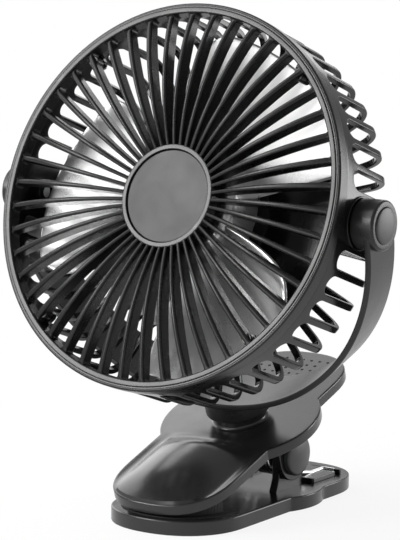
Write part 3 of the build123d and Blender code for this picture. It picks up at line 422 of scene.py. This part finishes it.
# Four ledges inside the drum's front carry the grille's screws.
ledge = rounded([(88.6, -3.2), (97.0, -3.2), (97.0, 3.2), (88.6, 3.2)], (2, 0, 0, 2))
for turn in boss_turns:
    rows = []
    for depth in (15.3, 18.2):
        rows.append([round_head(turn + math.atan2(y, x), math.hypot(x, y), depth) for x, y in ledge])
    housing.skin(rows, first_end=True, last_end=True)
housing.make("housing_drum", shell_black, "head_body", "fan_housing", slot="black_plastic")

# ---------------------------------------------------------------------------
# Impeller: a cup over the motor with three broad twisted blades, moulded together in
# smooth pearl-grey plastic and pressed on the shaft.
pearl = Paint("pearl_grey", 0.85)
swirl = pearl.noise(30, 4)
flakes = pearl.noise(0.35, 2)
pearl_colour = pearl.blend(swirl, (0.64, 0.64, 0.64), (0.74, 0.74, 0.74))
pearl_grey = pearl.finish(pearl_colour, swirl * 0.08 + flakes * 0.06 + 0.22, flakes, 0.000004)

cup_radius, cup_bore, cup_front, cup_floor, cup_back = 32.6, 30.4, 14, 11.8, -10.8
shaft_hole, stem_radius, stem_back = 2, 5, 5.8
cup = [(shaft_hole, cup_floor), (shaft_hole, stem_back), (stem_radius, stem_back), (stem_radius, cup_floor)]
cup += [(cup_bore, cup_floor), (cup_bore, cup_back), (cup_radius, cup_back), (cup_radius, cup_front)]
cup += [(0, cup_front), (0, cup_floor)]
impeller = Piece()
impeller.lathe(rounded(cup, (0, 0.3, 0.3, 0, 0.6, 0.6, 0.8, 4.0, 0, 0), 6), round_head, 128)

blade_count, first_blade, root_sweep = 3, 18, 84
blade_root, blade_tip, blade_reach, blade_half = 31.6, 88.0, 12, 0.9
trim_start, tip_trim, edge_share = 0.72, 0.045, 0.012


def blade_point(blade, out, along):
    """A point of a blade's middle surface, by its shares of the way out and along the sweep."""
    sweep = root_sweep - 4 * out - 9 * out**4
    turn = math.radians(first_blade + 360 / blade_count * blade + sweep * along)
    depth = between((-blade_reach, blade_reach), along)
    return round_head(turn, between((blade_root, blade_tip), out), depth)


outs = [0.5 - 0.5 * math.cos(math.pi * step / 22) for step in range(23)]
alongs = [0.5 - 0.5 * math.cos(math.pi * step / 26) for step in range(27)]
for blade in range(blade_count):
    grid = []
    for out in outs:
        trim = tip_trim * (max(0, out - trim_start) / (1 - trim_start)) ** 2
        row = []
        for along in alongs:
            place = between((trim, 1 - trim), along)
            over = blade_point(blade, out, place + 0.01) - blade_point(blade, out, place - 0.01)
            beyond = blade_point(blade, out + 0.01, place) - blade_point(blade, out - 0.01, place)
            edge = min(min(along, 1 - along, 1 - out) / edge_share, 1)
            thick = blade_half * math.sqrt(max(0.0, 1 - (1 - edge) ** 2))
            row.append((blade_point(blade, out, place), over.cross(beyond).normalized() * thick))
        grid.append(row)
    for face in (1, -1):
        rows = [[middle + offset * face for middle, offset in row] for row in grid]
        impeller.skin(rows, closed=False)
impeller.make("impeller_moulding", pearl_grey, "impeller_body", "impeller", slot="blade_plastic", sharp=60)

# ---------------------------------------------------------------------------
# Ring bracket: a U-shaped strap in black ABS round the underside of the head, with a
# barrel at each end for the tilt pivot and a collar underneath that turns on the clip.
stand_up = Vector((0, -math.sin(lean), math.cos(lean)))
stand_back = Vector((0, math.cos(lean), math.sin(lean)))


def in_stand(x, back, up):
    """A point of the leaning stand from its width, depth and height."""
    return pivot + sideways * x + stand_back * back + stand_up * up


def through(knots, x):
    """A smooth curve through knots in falling order."""
    for index in range(len(knots) - 1):
        if x >= knots[index + 1][0] or index == len(knots) - 2:
            break
    (x0, y0), (x1, y1) = knots[index], knots[index + 1]
    before = knots[max(index - 1, 0)]
    after = knots[min(index + 2, len(knots) - 1)]
    share = (x - x0) / (x1 - x0)
    rise0 = (y1 - before[1]) / (x1 - before[0]) * (x1 - x0)
    rise1 = (after[1] - y0) / (after[0] - x0) * (x1 - x0)
    square, cube = share**2, share**3
    bends = (2 * cube - 3 * square + 1, cube - 2 * square + share, 3 * square - 2 * cube, cube - square)
    return bends[0] * y0 + bends[1] * rise0 + bends[2] * y1 + bends[3] * rise1


case_black = moulded("case_black", 0.016, 0.3, 0.5, 0.000006)
ring_inner, ring_outer, strap_low, strap_steps = 107.2, 110.4, -112, 120
strap_fronts = (-12.5, -13.8)
strap_back = [(0, 12.5), (-30, 12.5), (-62, 13.6), (-96, 16.8), (strap_low, 20.0)]
bracket = Piece()
rows = []
for step in range(strap_steps + 1):
    turn = -math.pi * step / strap_steps
    height = ring_outer * math.sin(turn)
    front, back = between(strap_fronts, height / strap_low), through(strap_back, height)
    corners = [(ring_inner, front), (ring_outer, front), (ring_outer, back), (ring_inner, back)]
    section = rounded(corners, (0.7, 0.9, 0.9, 0.7))
    rows.append([in_stand(radius * math.cos(turn), y, radius * math.sin(turn)) for radius, y in section])
bracket.skin(rows, first_end=True, last_end=True)
barrel = [(3.1, 100.2), (12.7, 100.2), (12.7, 113.2), (9.25, 113.2), (9.25, 112.0), (3.1, 112.0)]
bracket.lathe_both(rounded(barrel, (0, 1.2, 1.5, 0.3, 0, 0), 5), round_side, 96)

pan_back = 6.8
collar_bore, collar_radius, collar_bottom, collar_top = 5.05, 17.4, -120.7, -108.2


def round_pan(turn, radius, up):
    """A point round the axis that the bracket turns on."""
    return in_stand(radius * math.cos(turn), pan_back + radius * math.sin(turn), up)


collar = [(collar_bore, collar_bottom), (collar_radius, collar_bottom)]
collar += [(collar_radius, collar_top), (collar_bore, collar_top)]
bracket.lathe(rounded(collar, (0, 1.1, 0, 0), 5), round_pan, 96)
bracket.make("bracket_strap", case_black, "bracket_body", "bracket", slot="black_plastic")

# ---------------------------------------------------------------------------
# Pivot caps: two low domes in dark grey ABS, pressed into the barrels' ends, where they
# hide the pivot pins.
cap_black = moulded("cap_black", 0.05, 0.34)
cap_radius = 9.2
cap = [(0, 112.2), (cap_radius, 112.2), (cap_radius, 113.45), (9.0, 113.8), (8.7, 113.95)]
cap += dished(cap_radius, 114.5, -0.55, 2, 10)
caps = Piece()
caps.lathe_both(cap, round_side, 72)
caps.make("pivot_cap_pair", cap_black, "bracket_body", "pivot_caps", slot="grey_plastic")

# ---------------------------------------------------------------------------
# Upper jaw: the clip's top shell in gloss-satin black ABS, hollow for the battery: a
# tongue with a battery hump, a round middle with the neck, a thumb lever and two ears.
jaw_black = moulded("jaw_black", 0.017, 0.22, 0.6, 0.000004, 0.45)


def nose(half, start, length, exponent):
    """Points round one half of a rounded nose, from its side to its tip."""
    points = []
    for step in range(15):
        turn = math.pi / 2 * step / 14
        along = math.sin(turn) ** (2 / exponent) * length
        points.append((half * max(math.cos(turn), 0) ** (2 / exponent), start + along))
    return points


def waisted(front, middle, back):
    """A closed plan: a front nose, a round middle and a back nose, from (half, start, length, exponent)."""
    centre, radius = middle
    right = nose(*front)[::-1]
    low, high = math.asin(front[0] / radius), math.asin(back[0] / radius)
    meet = centre - radius * math.cos(low)
    right += [(front[0], between((front[1], meet), step / 8)) for step in range(1, 9)]
    for step in range(1, 23):
        turn = between((low, math.pi - high), step / 22)
        right.append((radius * math.sin(turn), centre - radius * math.cos(turn)))
    meet = centre + radius * math.cos(high)
    right += [(back[0], between((meet, back[1]), step / 4)) for step in range(1, 4)]
    right += nose(*back)
    return right + [(-x, y) for x, y in right[-2:0:-1]]


tongue_half, tongue_start, tongue_length = 33.5, -49.0, -36.4
middle_centre, middle_radius = 6.5, 43.0
lever_half, lever_start, lever_length = 31.5, 51.0, 31.0
corner_power = 2.6
top, rim_level, ceiling = -126.1, -131.8, -127.9
shell, top_round, spine_front, spine_back = 2.4, 0.9, -62, 60


def jaw_plan(inset):
    """The jaw's outline, drawn in by a distance."""
    tongue = (tongue_half - inset, tongue_start, tongue_length + inset, corner_power)
    lever = (lever_half - inset, lever_start, lever_length - inset, corner_power)
    return waisted(tongue, (middle_centre, middle_radius - inset), lever)


def jaw_loop(inset, up):
    return [in_stand(x, y, up) for x, y in jaw_plan(inset)]


def toward_spine(plan, share):
    """The plan drawn in toward the middle line."""
    return [(x * (1 - share), between((y, min(max(y, spine_front), spine_back)), share)) for x, y in plan]


# The battery's hump rises from the tongue, falls off to the tip in a long curve and to
# the neck in a short one, and a shallow groove runs along either side of it.
hump_height, hump_half, hump_peak, hump_fore, hump_aft, hump_fall = 8.2, 28.5, -36, 52, 20, 2.6
groove_depth, groove_place, groove_half = 0.5, 27, 4


def hump(x, y):
    """Height of the battery hump over the jaw's top."""
    if y < hump_peak:
        along = 1 - min((hump_peak - y) / hump_fore, 1) ** hump_fall
    else:
        along = math.cos(math.pi / 2 * min((y - hump_peak) / hump_aft, 1)) ** 2
    groove = math.exp(-(((abs(x) - groove_place) / groove_half) ** 2))
    return along * (hump_height * max(0.0, 1 - (x / hump_half) ** 2) ** 1.15 - groove_depth * groove)


def inner_hump(x, y):
    """Height of the hollow under the hump, a little lower and narrower than the hump."""
    return 0.97 * hump(x * 1.08, y + 0.08 * (y - hump_peak))


jaw = Piece()
rows = [jaw_loop(shell, rim_level), jaw_loop(0.4, rim_level), jaw_loop(0.1, rim_level + 0.1)]
rows += [jaw_loop(0, rim_level + 0.4), jaw_loop(0, top - top_round)]
for turn in (22.5, 45, 67.5, 90):
    swing = math.radians(turn)
    rows.append(jaw_loop(top_round * (1 - math.cos(swing)), top - top_round * (1 - math.sin(swing))))
for step in range(1, 27):
    plan = toward_spine(jaw_plan(top_round), (step / 26) ** 1.05)
    rows.append([in_stand(x, y, top + hump(x, y)) for x, y in plan])
jaw.skin(rows)
rows = [jaw_loop(shell, rim_level)]
for step in range(15):
    plan = toward_spine(jaw_plan(shell), step / 14)
    rows.append([in_stand(x, y, ceiling + inner_hump(x, y)) for x, y in plan])
jaw.skin(rows)

neck_bore, neck_foot, foot_level, fillet = 5.1, 16.2, -124.2, 2.1
neck = [(neck_bore, -122.2), (12.0, -122.2), (12.0, -121.0), (14.2, -121.0), (14.2, -121.6)]
for turn in (0, 0.4, 0.8, 1.2, 1.57):
    neck.append((neck_foot - fillet * math.cos(turn), foot_level - fillet * math.sin(turn)))
neck += [(neck_foot, -127.0), (neck_bore, -127.0)]
jaw.lathe(neck, round_pan, 96)


def inset_loop(loop, distance):
    """A flat outline drawn in by a distance."""
    made = []
    turned = sum(a[0] * b[1] - b[0] * a[1] for a, b in zip(loop, [*loop[1:], loop[0]]))
    sign = 1 if turned > 0 else -1
    for index, here in enumerate(loop):
        before = (Vector(here) - Vector(loop[index - 1])).normalized()
        after = (Vector(loop[(index + 1) % len(loop)]) - Vector(here)).normalized()
        inward = Vector((-before.y - after.y, before.x + after.x)).normalized() * sign
        made.append(Vector(here) + inward * distance / max(0.5, math.sqrt((1 + before.dot(after)) / 2)))
    return made


def slab(piece, outline, place, low, high, edge=0.5):
    """A flat piece of an outline's shape between two levels, with rounded edges."""
    swings = [math.pi / 2 * step / 3 for step in range(4)]
    rows = []
    for swing in swings:
        loop = inset_loop(outline, edge * (1 - math.sin(swing)))
        rows.append([place(x, y, low + edge * (1 - math.cos(swing))) for x, y in loop])
    for swing in swings[::-1]:
        loop = inset_loop(outline, edge * (1 - math.sin(swing)))
        rows.append([place(x, y, high - edge * (1 - math.cos(swing))) for x, y in loop])
    piece.skin(rows, first_end=True, last_end=True)


def slab_pair(piece, outline, place, inner, outer):
    """The same flat piece on either side of the middle."""
    for side in (1, -1):
        low, high = sorted((side * inner, side * outer))
        slab(piece, outline, place, low, high)


hinge = Vector((0, 57, 26.6))
to_hinge = hinge - pivot
hinge_back, hinge_up = to_hinge.dot(stand_back), to_hinge.dot(stand_up)
ear_radius, ear_inner, ear_outer = 13.8, 24.8, 28.4


def ear_place(back, up, x):
    """A point of the upper jaw, from the hinge's axis."""
    return in_stand(x, hinge_back + back, hinge_up + up)


ear_plan = [(ear_radius, ceiling - hinge_up)]
for step in range(29):
    turn = -math.pi * step / 28
    ear_plan.append((ear_radius * math.cos(turn), ear_radius * math.sin(turn)))
ear_plan.append((-ear_radius, ceiling - hinge_up))
slab_pair(jaw, ear_plan, ear_place, ear_inner, ear_outer)
jaw.make("upper_jaw_shell", jaw_black, "upper_jaw_body", "upper_jaw", slot="black_plastic", sharp=30)

# ---------------------------------------------------------------------------
# Grip studs: forty-five small domes in soft black rubber, let into the thumb lever's
# top in five rows of nine.
rubber = Paint("stud_rubber")
dust = rubber.noise(7, 4)
pores = rubber.noise(0.25, 2)
stud_rubber = rubber.finish(
    rubber.blend(dust, (0.012, 0.012, 0.012), (0.02, 0.02, 0.021)), pores * 0.2 + 0.6, pores
)
stud_rows, stud_columns, stud_pitch, first_row = 5, 9, 5.2, 52
stud = [(0.9, -0.8), (0.9, -0.1), (0.86, 0.06), (0.7, 0.15), (0.4, 0.19), (0.001, 0.2)]
stud_turns = [math.tau * step / 16 for step in range(16)]
studs = Piece()
for row in range(stud_rows):
    for column in range(stud_columns):
        x, y = (column - (stud_columns - 1) / 2) * stud_pitch, first_row + row * stud_pitch
        rows = []
        for radius, up in stud:
            circle = [(x + radius * math.cos(turn), y + radius * math.sin(turn)) for turn in stud_turns]
            rows.append([in_stand(*point, top + up) for point in circle])
        studs.skin(rows, first_end=True)
studs.make("grip_studs", stud_rubber, "upper_jaw_body", "grip_dots", slot="soft_rubber")

# ---------------------------------------------------------------------------
# Lower jaw: a thick base plate in black ABS with a pocket for the rubber pad, two
# hinge lugs and two raised blocks that take the spring's legs.
plate_half, plate_top = 36.4, 7.6
plate_plan = waisted((plate_half, -5.1, -35.9, 2.2), (57.0, 40.0), (plate_half, 85.0, 36.0, 2.6))


def on_floor(x, y, z):
    return Vector((x, y, z))


def plate_loop(inset, z):
    return [on_floor(x, y, z) for x, y in inset_loop(plate_plan, inset)]


plate = Piece()
plate_edges = [(4, 1.5), (4, 0), (0.5, 0), (0.15, 0.15), (0, 0.5), (0, 6.8), (0.1, 7.2), (0.35, 7.5)]
plate_edges += [(0.8, plate_top), (2.5, plate_top)]
plate.skin([plate_loop(inset, z) for inset, z in plate_edges], first_end=True, last_end=True)


def lug_place(y, z, x):
    """A point of the lower jaw, from the hinge's axis."""
    return hinge + Vector((x, y, z))


lug_fore, lug_foot, lug_inner, lug_outer = 9.0, 7.2 - hinge.z, 20, 24.5
lug_plan = [(ear_radius, lug_foot)]
for step in range(29):
    turn = math.pi * step / 28
    lug_plan.append(((ear_radius if step < 14 else lug_fore) * math.cos(turn), ear_radius * math.sin(turn)))
lug_plan += [(-lug_fore, -12.0), (-12.0, lug_foot)]
slab_pair(plate, lug_plan, lug_place, lug_inner, lug_outer)

# Each block is two parts with the spring leg's groove between them, and a bar behind
# them that holds the leg's hook.
groove_inner, groove_outer, block_inner, block_outer = 16.7, 19.9, 10.0, 29.0
block_front, block_back, block_foot, block_top = 75, 104, 7.4, 10.3
block_edges, bar_edges = (1.4, 1.4, 1.0, 1.0), (0.6, 0.6, 0.6, 0.6)
block_parts = [
    (block_inner, groove_inner, block_front, block_back, block_edges, 0.5),
    (groove_outer, block_outer, block_front, 97.9, block_edges, 0.5),
    (block_inner, block_outer, 102.1, block_back, bar_edges, 0.4),
]
for inner, outer, front, back, radii, edge in block_parts:
    for side in (1, -1):
        left, right = sorted((side * inner, side * outer))
        corners = [(left, front), (right, front), (right, back), (left, back)]
        slab(plate, rounded(corners, radii), on_floor, block_foot, block_top, edge)
plate.make("lower_jaw_plate", jaw_black, "clip_base", "lower_jaw", slot="black_plastic")


# ---------------------------------------------------------------------------
# Hinge caps: two domed buttons in the pivot caps' dark grey ABS, pressed on the ends
# of the hinge pin.
def round_hinge(turn, radius, x):
    """A point round the hinge's axis."""
    return hinge + Vector((x, radius * math.cos(turn), radius * math.sin(turn)))


button = [(0, 30.0), (3.0, 30.0), (3.0, 28.7), (11.0, 28.7), (11.0, 30.4)]
button += [(10.85, 30.95), (10.4, 31.35), (9.9, 31.62), *dished(9.2, 32.9, -1.1, 0, 10)]
buttons = Piece()
buttons.lathe_both(button, round_hinge, 72)
buttons.make("hinge_cap_pair", cap_black, "clip_base", "hinge_caps", slot="black_plastic")

# ---------------------------------------------------------------------------
# Torsion spring: bright plated steel wire, a five-turn coil each side of the middle
# whose rear legs hook into the blocks; its pushing legs bear up under the lever.
bright = Paint("plated_wire", 1.0)
streaks = bright.noise(3, 4)
plated_wire = bright.finish(bright.blend(streaks, (0.62, 0.62, 0.64), (0.8, 0.8, 0.81)), streaks * 0.12 + 0.1)
wire_radius, wire_sides = 1.1, 16


def wire(piece, path):
    """A round wire along a path."""
    rows = []
    across = (path[1] - path[0]).orthogonal().normalized()
    for index, here in enumerate(path):
        run = (path[min(index + 1, len(path) - 1)] - path[max(index - 1, 0)]).normalized()
        across = (across - run * across.dot(run)).normalized()
        other = run.cross(across)
        row = []
        for side in range(wire_sides):
            turn = math.tau * side / wire_sides
            row.append(here + (across * math.cos(turn) + other * math.sin(turn)) * wire_radius)
        rows.append(row)
    piece.skin(rows, first_end=True, last_end=True)


coil_radius, coil_start, coil_end, coil_turns = 11.0, 7.3, 18.7, 5
coil_pitch = (coil_end - coil_start) / coil_turns
leg_level, leg_reach, hook_back, hook_end = 10.2, 31.0, 100, 26.5
drop = leg_level - hinge.z
reach = math.hypot(leg_reach, drop)
rear_turn = math.atan2(drop, leg_reach) - math.acos(coil_radius / reach)
lay = Vector((coil_pitch / math.tau, -coil_radius * math.sin(rear_turn), coil_radius * math.cos(rear_turn)))
last = round_hinge(rear_turn, coil_radius, coil_end)
corner = last + lay * (math.sqrt(reach**2 - coil_radius**2) / coil_radius)
hook = [last, corner, Vector((corner.x, hook_back, leg_level)), Vector((hook_end, hook_back, leg_level))]
path = []
for step in range(32 * coil_turns + 1):
    x = between((coil_start, coil_end), step / (32 * coil_turns))
    path.append(round_hinge(rear_turn - (coil_end - x) / coil_pitch * math.tau, coil_radius, x))
path += rounded(hook, (0, 1.8, 1.8, 0), 6)[1:]
spring = Piece()
for side in (1, -1):
    wire(spring, [Vector((side * point.x, point.y, point.z)) for point in path])
spring.make("coil_spring", plated_wire, "clip_base", "torsion_spring", slot="spring_chrome")

leg_aside, leg_back, leg_up = 3.2, 40.0, rim_level - wire_radius
leg_length = math.hypot(leg_back - hinge_back, leg_up - hinge_up)
leg_turn = math.atan2(leg_up - hinge_up, leg_back - hinge_back) + math.acos(coil_radius / leg_length)


def leg_point(x, turn):
    """A point of the pushing leg's coil, which turns with the upper jaw."""
    return ear_place(coil_radius * math.cos(turn), coil_radius * math.sin(turn), x)


turns = [leg_turn + math.radians(340) * step / 60 for step in range(60, 0, -1)]
loop = [leg_point(leg_aside, leg_turn), in_stand(leg_aside, leg_back, leg_up)]
loop += [in_stand(-leg_aside, leg_back, leg_up), leg_point(-leg_aside, leg_turn)]
path = [leg_point(leg_aside, turn) for turn in turns] + rounded(loop, (0, 2.5, 2.5, 0), 6)
path += [leg_point(-leg_aside, turn) for turn in turns[::-1]]
legs = Piece()
wire(legs, path)
legs.make("spring_leg_loop", plated_wire, "upper_jaw_body", "spring_legs", slot="spring_chrome")


# ---------------------------------------------------------------------------
# Inner plastic pieces of the head and clip, shown as their solids with eased edges:
# motor mount, switch, washer, spring sleeve, covers and button.
def dress(material, *names, ease=0.0003):
    """Gives solids a material and small rounded edges."""
    for name in names:
        solid = nodes[name]
        solid.data.materials.clear()
        solid.data.materials.append(material)
        solid.data.set_sharp_from_angle(angle=math.radians(35))
        if ease:
            joined = solid.modifiers.new("joined", "WELD")
            joined.merge_threshold = 0.000004
            eased = solid.modifiers.new("eased_edges", "BEVEL")
            eased.width = ease
            eased.segments = 2
            eased.limit_method = "ANGLE"
            eased.angle_limit = math.radians(40)
        even = solid.modifiers.new("even_shading", "WEIGHTED_NORMAL")
        even.keep_sharp = True


inner_black = moulded("inner_black", 0.014, 0.5)
dress(inner_black, "motor_mount", "tact_switch", "pan_washer", "spring_sleeve", ease=0.0002)
dress(jaw_black, "jaw_cover")
dress(case_black, "rear_cover", "power_button")

# ---------------------------------------------------------------------------
# Steel hardware: zinc-plated screws, pins, bolt, nut, shaft and inlet shell, turned,
# cold-headed or pressed, and driven or screwed into the plastic.
zinc = Paint("zinc_plate", 1.0)
turned = zinc.noise(1.4, 4)
bloom = zinc.noise(9, 4)
zinc_colour = zinc.blend(bloom, (0.46, 0.47, 0.49), (0.62, 0.62, 0.6))
zinc_plate = zinc.finish(zinc_colour, bloom * 0.2 + turned * 0.12 + 0.18, turned, 0.000006)
dress(zinc_plate, "grille_screws", "motor_screws", "rear_cover_screws", ease=0.00015)
dress(zinc_plate, "pivot_pins", "pan_bolt", "pan_nut", ease=0.00015)
dress(zinc_plate, "cover_screws", "usb_inlet", "hinge_pin", "motor_shaft", "shaft_clip", ease=0.0001)

# ---------------------------------------------------------------------------
# Motor: a stack of steel laminations, enamelled copper coils, a ferrite ring and two
# bronze bearings.
stack = Paint("lamination_steel", 1.0)
layers = stack.node("ShaderNodeTexWave", {"bands_direction": "Y"}, {"Vector": stack.place, "Scale": 320.0})
lamination_steel = stack.finish(
    stack.blend(layers, (0.2, 0.2, 0.21), (0.42, 0.42, 0.44)), layers * 0.2 + 0.3, layers, 0.00005
)
dress(lamination_steel, "stator_core", ease=0)
ferrite = Paint("ferrite")
specks = ferrite.noise(0.8, 4)
sintered_ferrite = ferrite.finish(
    ferrite.blend(specks, (0.03, 0.03, 0.033), (0.07, 0.07, 0.075)), specks * 0.2 + 0.45, specks
)
dress(sintered_ferrite, "rotor_ring")
copper = Paint("enamelled_copper", 1.0)
strands = copper.node(
    "ShaderNodeTexWave", {"bands_direction": "DIAGONAL"}, {"Vector": copper.place, "Scale": 420.0}
)
enamelled_copper = copper.finish(
    copper.blend(strands, (0.3, 0.1, 0.04), (0.7, 0.3, 0.14)), strands * 0.1 + 0.25, strands, 0.00015
)
dress(enamelled_copper, "windings", ease=0)
bronze = Paint("bearing_bronze", 1.0)
sinter = bronze.noise(0.3, 3)
bearing_bronze = bronze.finish(
    bronze.blend(sinter, (0.35, 0.2, 0.09), (0.6, 0.4, 0.18)), sinter * 0.2 + 0.3, sinter
)
dress(bearing_bronze, "front_bearing", "rear_bearing", ease=0)

# ---------------------------------------------------------------------------
# Electronics: two green circuit boards, a battery cell in silver foil and a small
# frosted lens over the speed light.
board = Paint("green_board")
tracks = board.node(
    "ShaderNodeTexBrick", {}, {"Vector": board.place, "Scale": 90.0, "Mortar Size": 0.03}, "Fac"
)
weave = board.noise(0.5, 2)
green_board = board.finish(
    board.blend(tracks, (0.01, 0.09, 0.035), (0.03, 0.2, 0.08)), weave * 0.15 + 0.3, tracks, 0.00004
)
dress(green_board, "driver_board", "charge_board", ease=0)
foil = Paint("cell_foil", 0.9)
creases = foil.noise(5, 5, 0.65)
cell_foil = foil.finish(
    foil.blend(creases, (0.42, 0.43, 0.45), (0.62, 0.63, 0.64)), creases * 0.25 + 0.2, creases, 0.0003
)
dress(cell_foil, "battery_cell", ease=0.0006)
lens = Paint("lens_frost")
frost = lens.noise(0.6, 3)
lens_frost = lens.finish(lens.blend(frost, (0.55, 0.56, 0.57), (0.7, 0.71, 0.72)), frost * 0.2 + 0.15)
dress(lens_frost, "indicator_lens", ease=0.0002)

# ---------------------------------------------------------------------------
# Rubber: the two friction washers, the jaws' pads and the foot, black nitrile with a
# matt, slightly dusty skin and fine ribs.
pad = Paint("pad_rubber")
ribs = pad.node("ShaderNodeTexWave", {"bands_direction": "Y"}, {"Vector": pad.place, "Scale": 160.0})
bloomed = pad.noise(12, 5)
pad_rubber = pad.finish(
    pad.blend(bloomed, (0.014, 0.014, 0.014), (0.03, 0.03, 0.031)), bloomed * 0.2 + 0.6, ribs, 0.0003
)
dress(pad_rubber, "upper_pad", "lower_pad", "foot_pad", "friction_washers")

# ---------------------------------------------------------------------------
# Floor and surround: a plain white sweep. It is pure white to the camera and in
# reflections, and takes a faint shade only where the fan stands.
floor_half = 6
floor_corners = [(-floor_half, -floor_half, 0), (floor_half, -floor_half, 0)]
floor_corners += [(floor_half, floor_half, 0), (-floor_half, floor_half, 0)]
floor_mesh = bpy.data.meshes.new("floor")
floor_mesh.from_pydata(floor_corners, [], [(0, 1, 2, 3)])
floor = bpy.data.objects.new("floor", floor_mesh)
bpy.context.scene.collection.objects.link(floor)
floor.location.z = -0.0002
paper = Paint("floor_paper")
sight = paper.node("ShaderNodeLightPath") + paper.node("ShaderNodeLightPath", out="Is Glossy Ray")
sight = sight + paper.node("ShaderNodeLightPath", out="Is Transmission Ray")
lit = paper.node("ShaderNodeBsdfDiffuse", {}, {"Color": (0.9, 0.9, 0.9, 1)})
white = paper.node("ShaderNodeEmission", {}, {"Color": (1, 1, 1, 1), "Strength": 1.0})
apart = paper.node("ShaderNodeVectorMath", {"operation": "LENGTH"}, {0: paper.place}, "Value")
glow = sight * (apart.step(0.1, 0.3) * 0.12 + 0.88)
shown = paper.node("ShaderNodeMixShader", {}, {0: glow, 1: lit, 2: white})
paper.tree.links.new(shown.socket, paper.tree.nodes["Material Output"].inputs["Surface"])
floor_mesh.materials.append(paper.material)


class Surround(Paint):
    """The world's shader, made with the same node method."""

    def __init__(self, name):
        world = bpy.data.worlds.new(name)
        bpy.context.scene.world = world
        world.use_nodes = True
        self.tree = world.node_tree
        self.tree.nodes.clear()


sky = Surround("studio")
camera_ray = sky.node("ShaderNodeLightPath", out="Is Camera Ray")
glossy_ray = sky.node("ShaderNodeLightPath", out="Is Glossy Ray")
glass_ray = sky.node("ShaderNodeLightPath", out="Is Transmission Ray")
soft = sky.node("ShaderNodeBackground", {}, {"Strength": 0.25, "Color": (1, 1, 1, 1)})
plain = sky.node("ShaderNodeBackground", {}, {"Strength": 1.0, "Color": (1, 1, 1, 1)})
clamped = {"operation": "ADD", "use_clamp": True}
seen = sky.node("ShaderNodeMath", clamped, {0: camera_ray + glass_ray, 1: glossy_ray * 0.3})
both = sky.node("ShaderNodeMixShader", {}, {0: seen, 1: soft, 2: plain})
sky.tree.links.new(both.socket, sky.tree.nodes.new("ShaderNodeOutputWorld").inputs["Surface"])


# ---------------------------------------------------------------------------
# Light: soft studio panels in front, above and low down, and dimmer ones at the left
# and behind that draw the rims' and the clip's edges.
fan_middle = Vector((0, 0, 0.13))


def softbox(name, toward, distance, width, height, power):
    """A soft panel that faces the fan, from a direction and a distance in metres."""
    light = bpy.data.lights.new(name, "AREA")
    light.shape = "RECTANGLE"
    light.size = width
    light.size_y = height
    light.energy = power
    panel = bpy.data.objects.new(name, light)
    bpy.context.scene.collection.objects.link(panel)
    away = Vector(toward).normalized()
    panel.location = fan_middle + away * distance
    panel.visible_camera = False
    panel.rotation_mode = "QUATERNION"
    panel.rotation_quaternion = away.to_track_quat("Z", "Y")


softbox("front_panel", (-0.55, -0.74, 0.38), 1.4, 0.5, 0.5, 12)
softbox("top_panel", (-0.5, -0.45, 0.72), 1.4, 0.75, 0.75, 7)
softbox("low_panel", (-0.16, -0.95, 0.05), 1.4, 0.6, 0.5, 4)
softbox("left_panel", (-0.84, 0.27, 0.32), 0.47, 0.46, 0.42, 1.4)
softbox("rear_left_panel", (-0.4, 0.8, 0.5), 1.3, 0.8, 0.8, 3)
softbox("rear_right_panel", (0.6, 0.8, 0.12), 1.3, 0.5, 0.6, 6)

# ---------------------------------------------------------------------------
# Camera: at the photograph's angle, distance and focal length, aimed a little below the
# head's middle.
azimuth, elevation, roll = (math.radians(part) for part in (33.796, 8.859, 0.688))
camera_distance, shift_right, shift_down = 1449.9, 3.8, 32.2
level = Vector((math.cos(azimuth), math.sin(azimuth), 0))
outward = Vector((math.sin(azimuth), -math.cos(azimuth), 0))
back = outward * math.cos(elevation) + Vector((0, 0, math.sin(elevation)))
upright = back.cross(level)
right = level * math.cos(roll) + upright * math.sin(roll)
up = upright * math.cos(roll) - level * math.sin(roll)
camera_data = bpy.data.cameras.new("camera")
camera_data.lens = 190.15
camera_data.sensor_width = 36
camera_data.clip_end = 20
camera = bpy.data.objects.new("camera", camera_data)
bpy.context.scene.collection.objects.link(camera)
spot = (pivot + back * camera_distance + right * shift_right - up * shift_down) * 0.001
camera.matrix_world = Matrix((
    (right.x, up.x, back.x, spot.x),
    (right.y, up.y, back.y, spot.y),
    (right.z, up.z, back.z, spot.z),
    (0, 0, 0, 1),
))
bpy.context.scene.camera = camera
bpy.context.scene.view_settings.view_transform = "Standard"
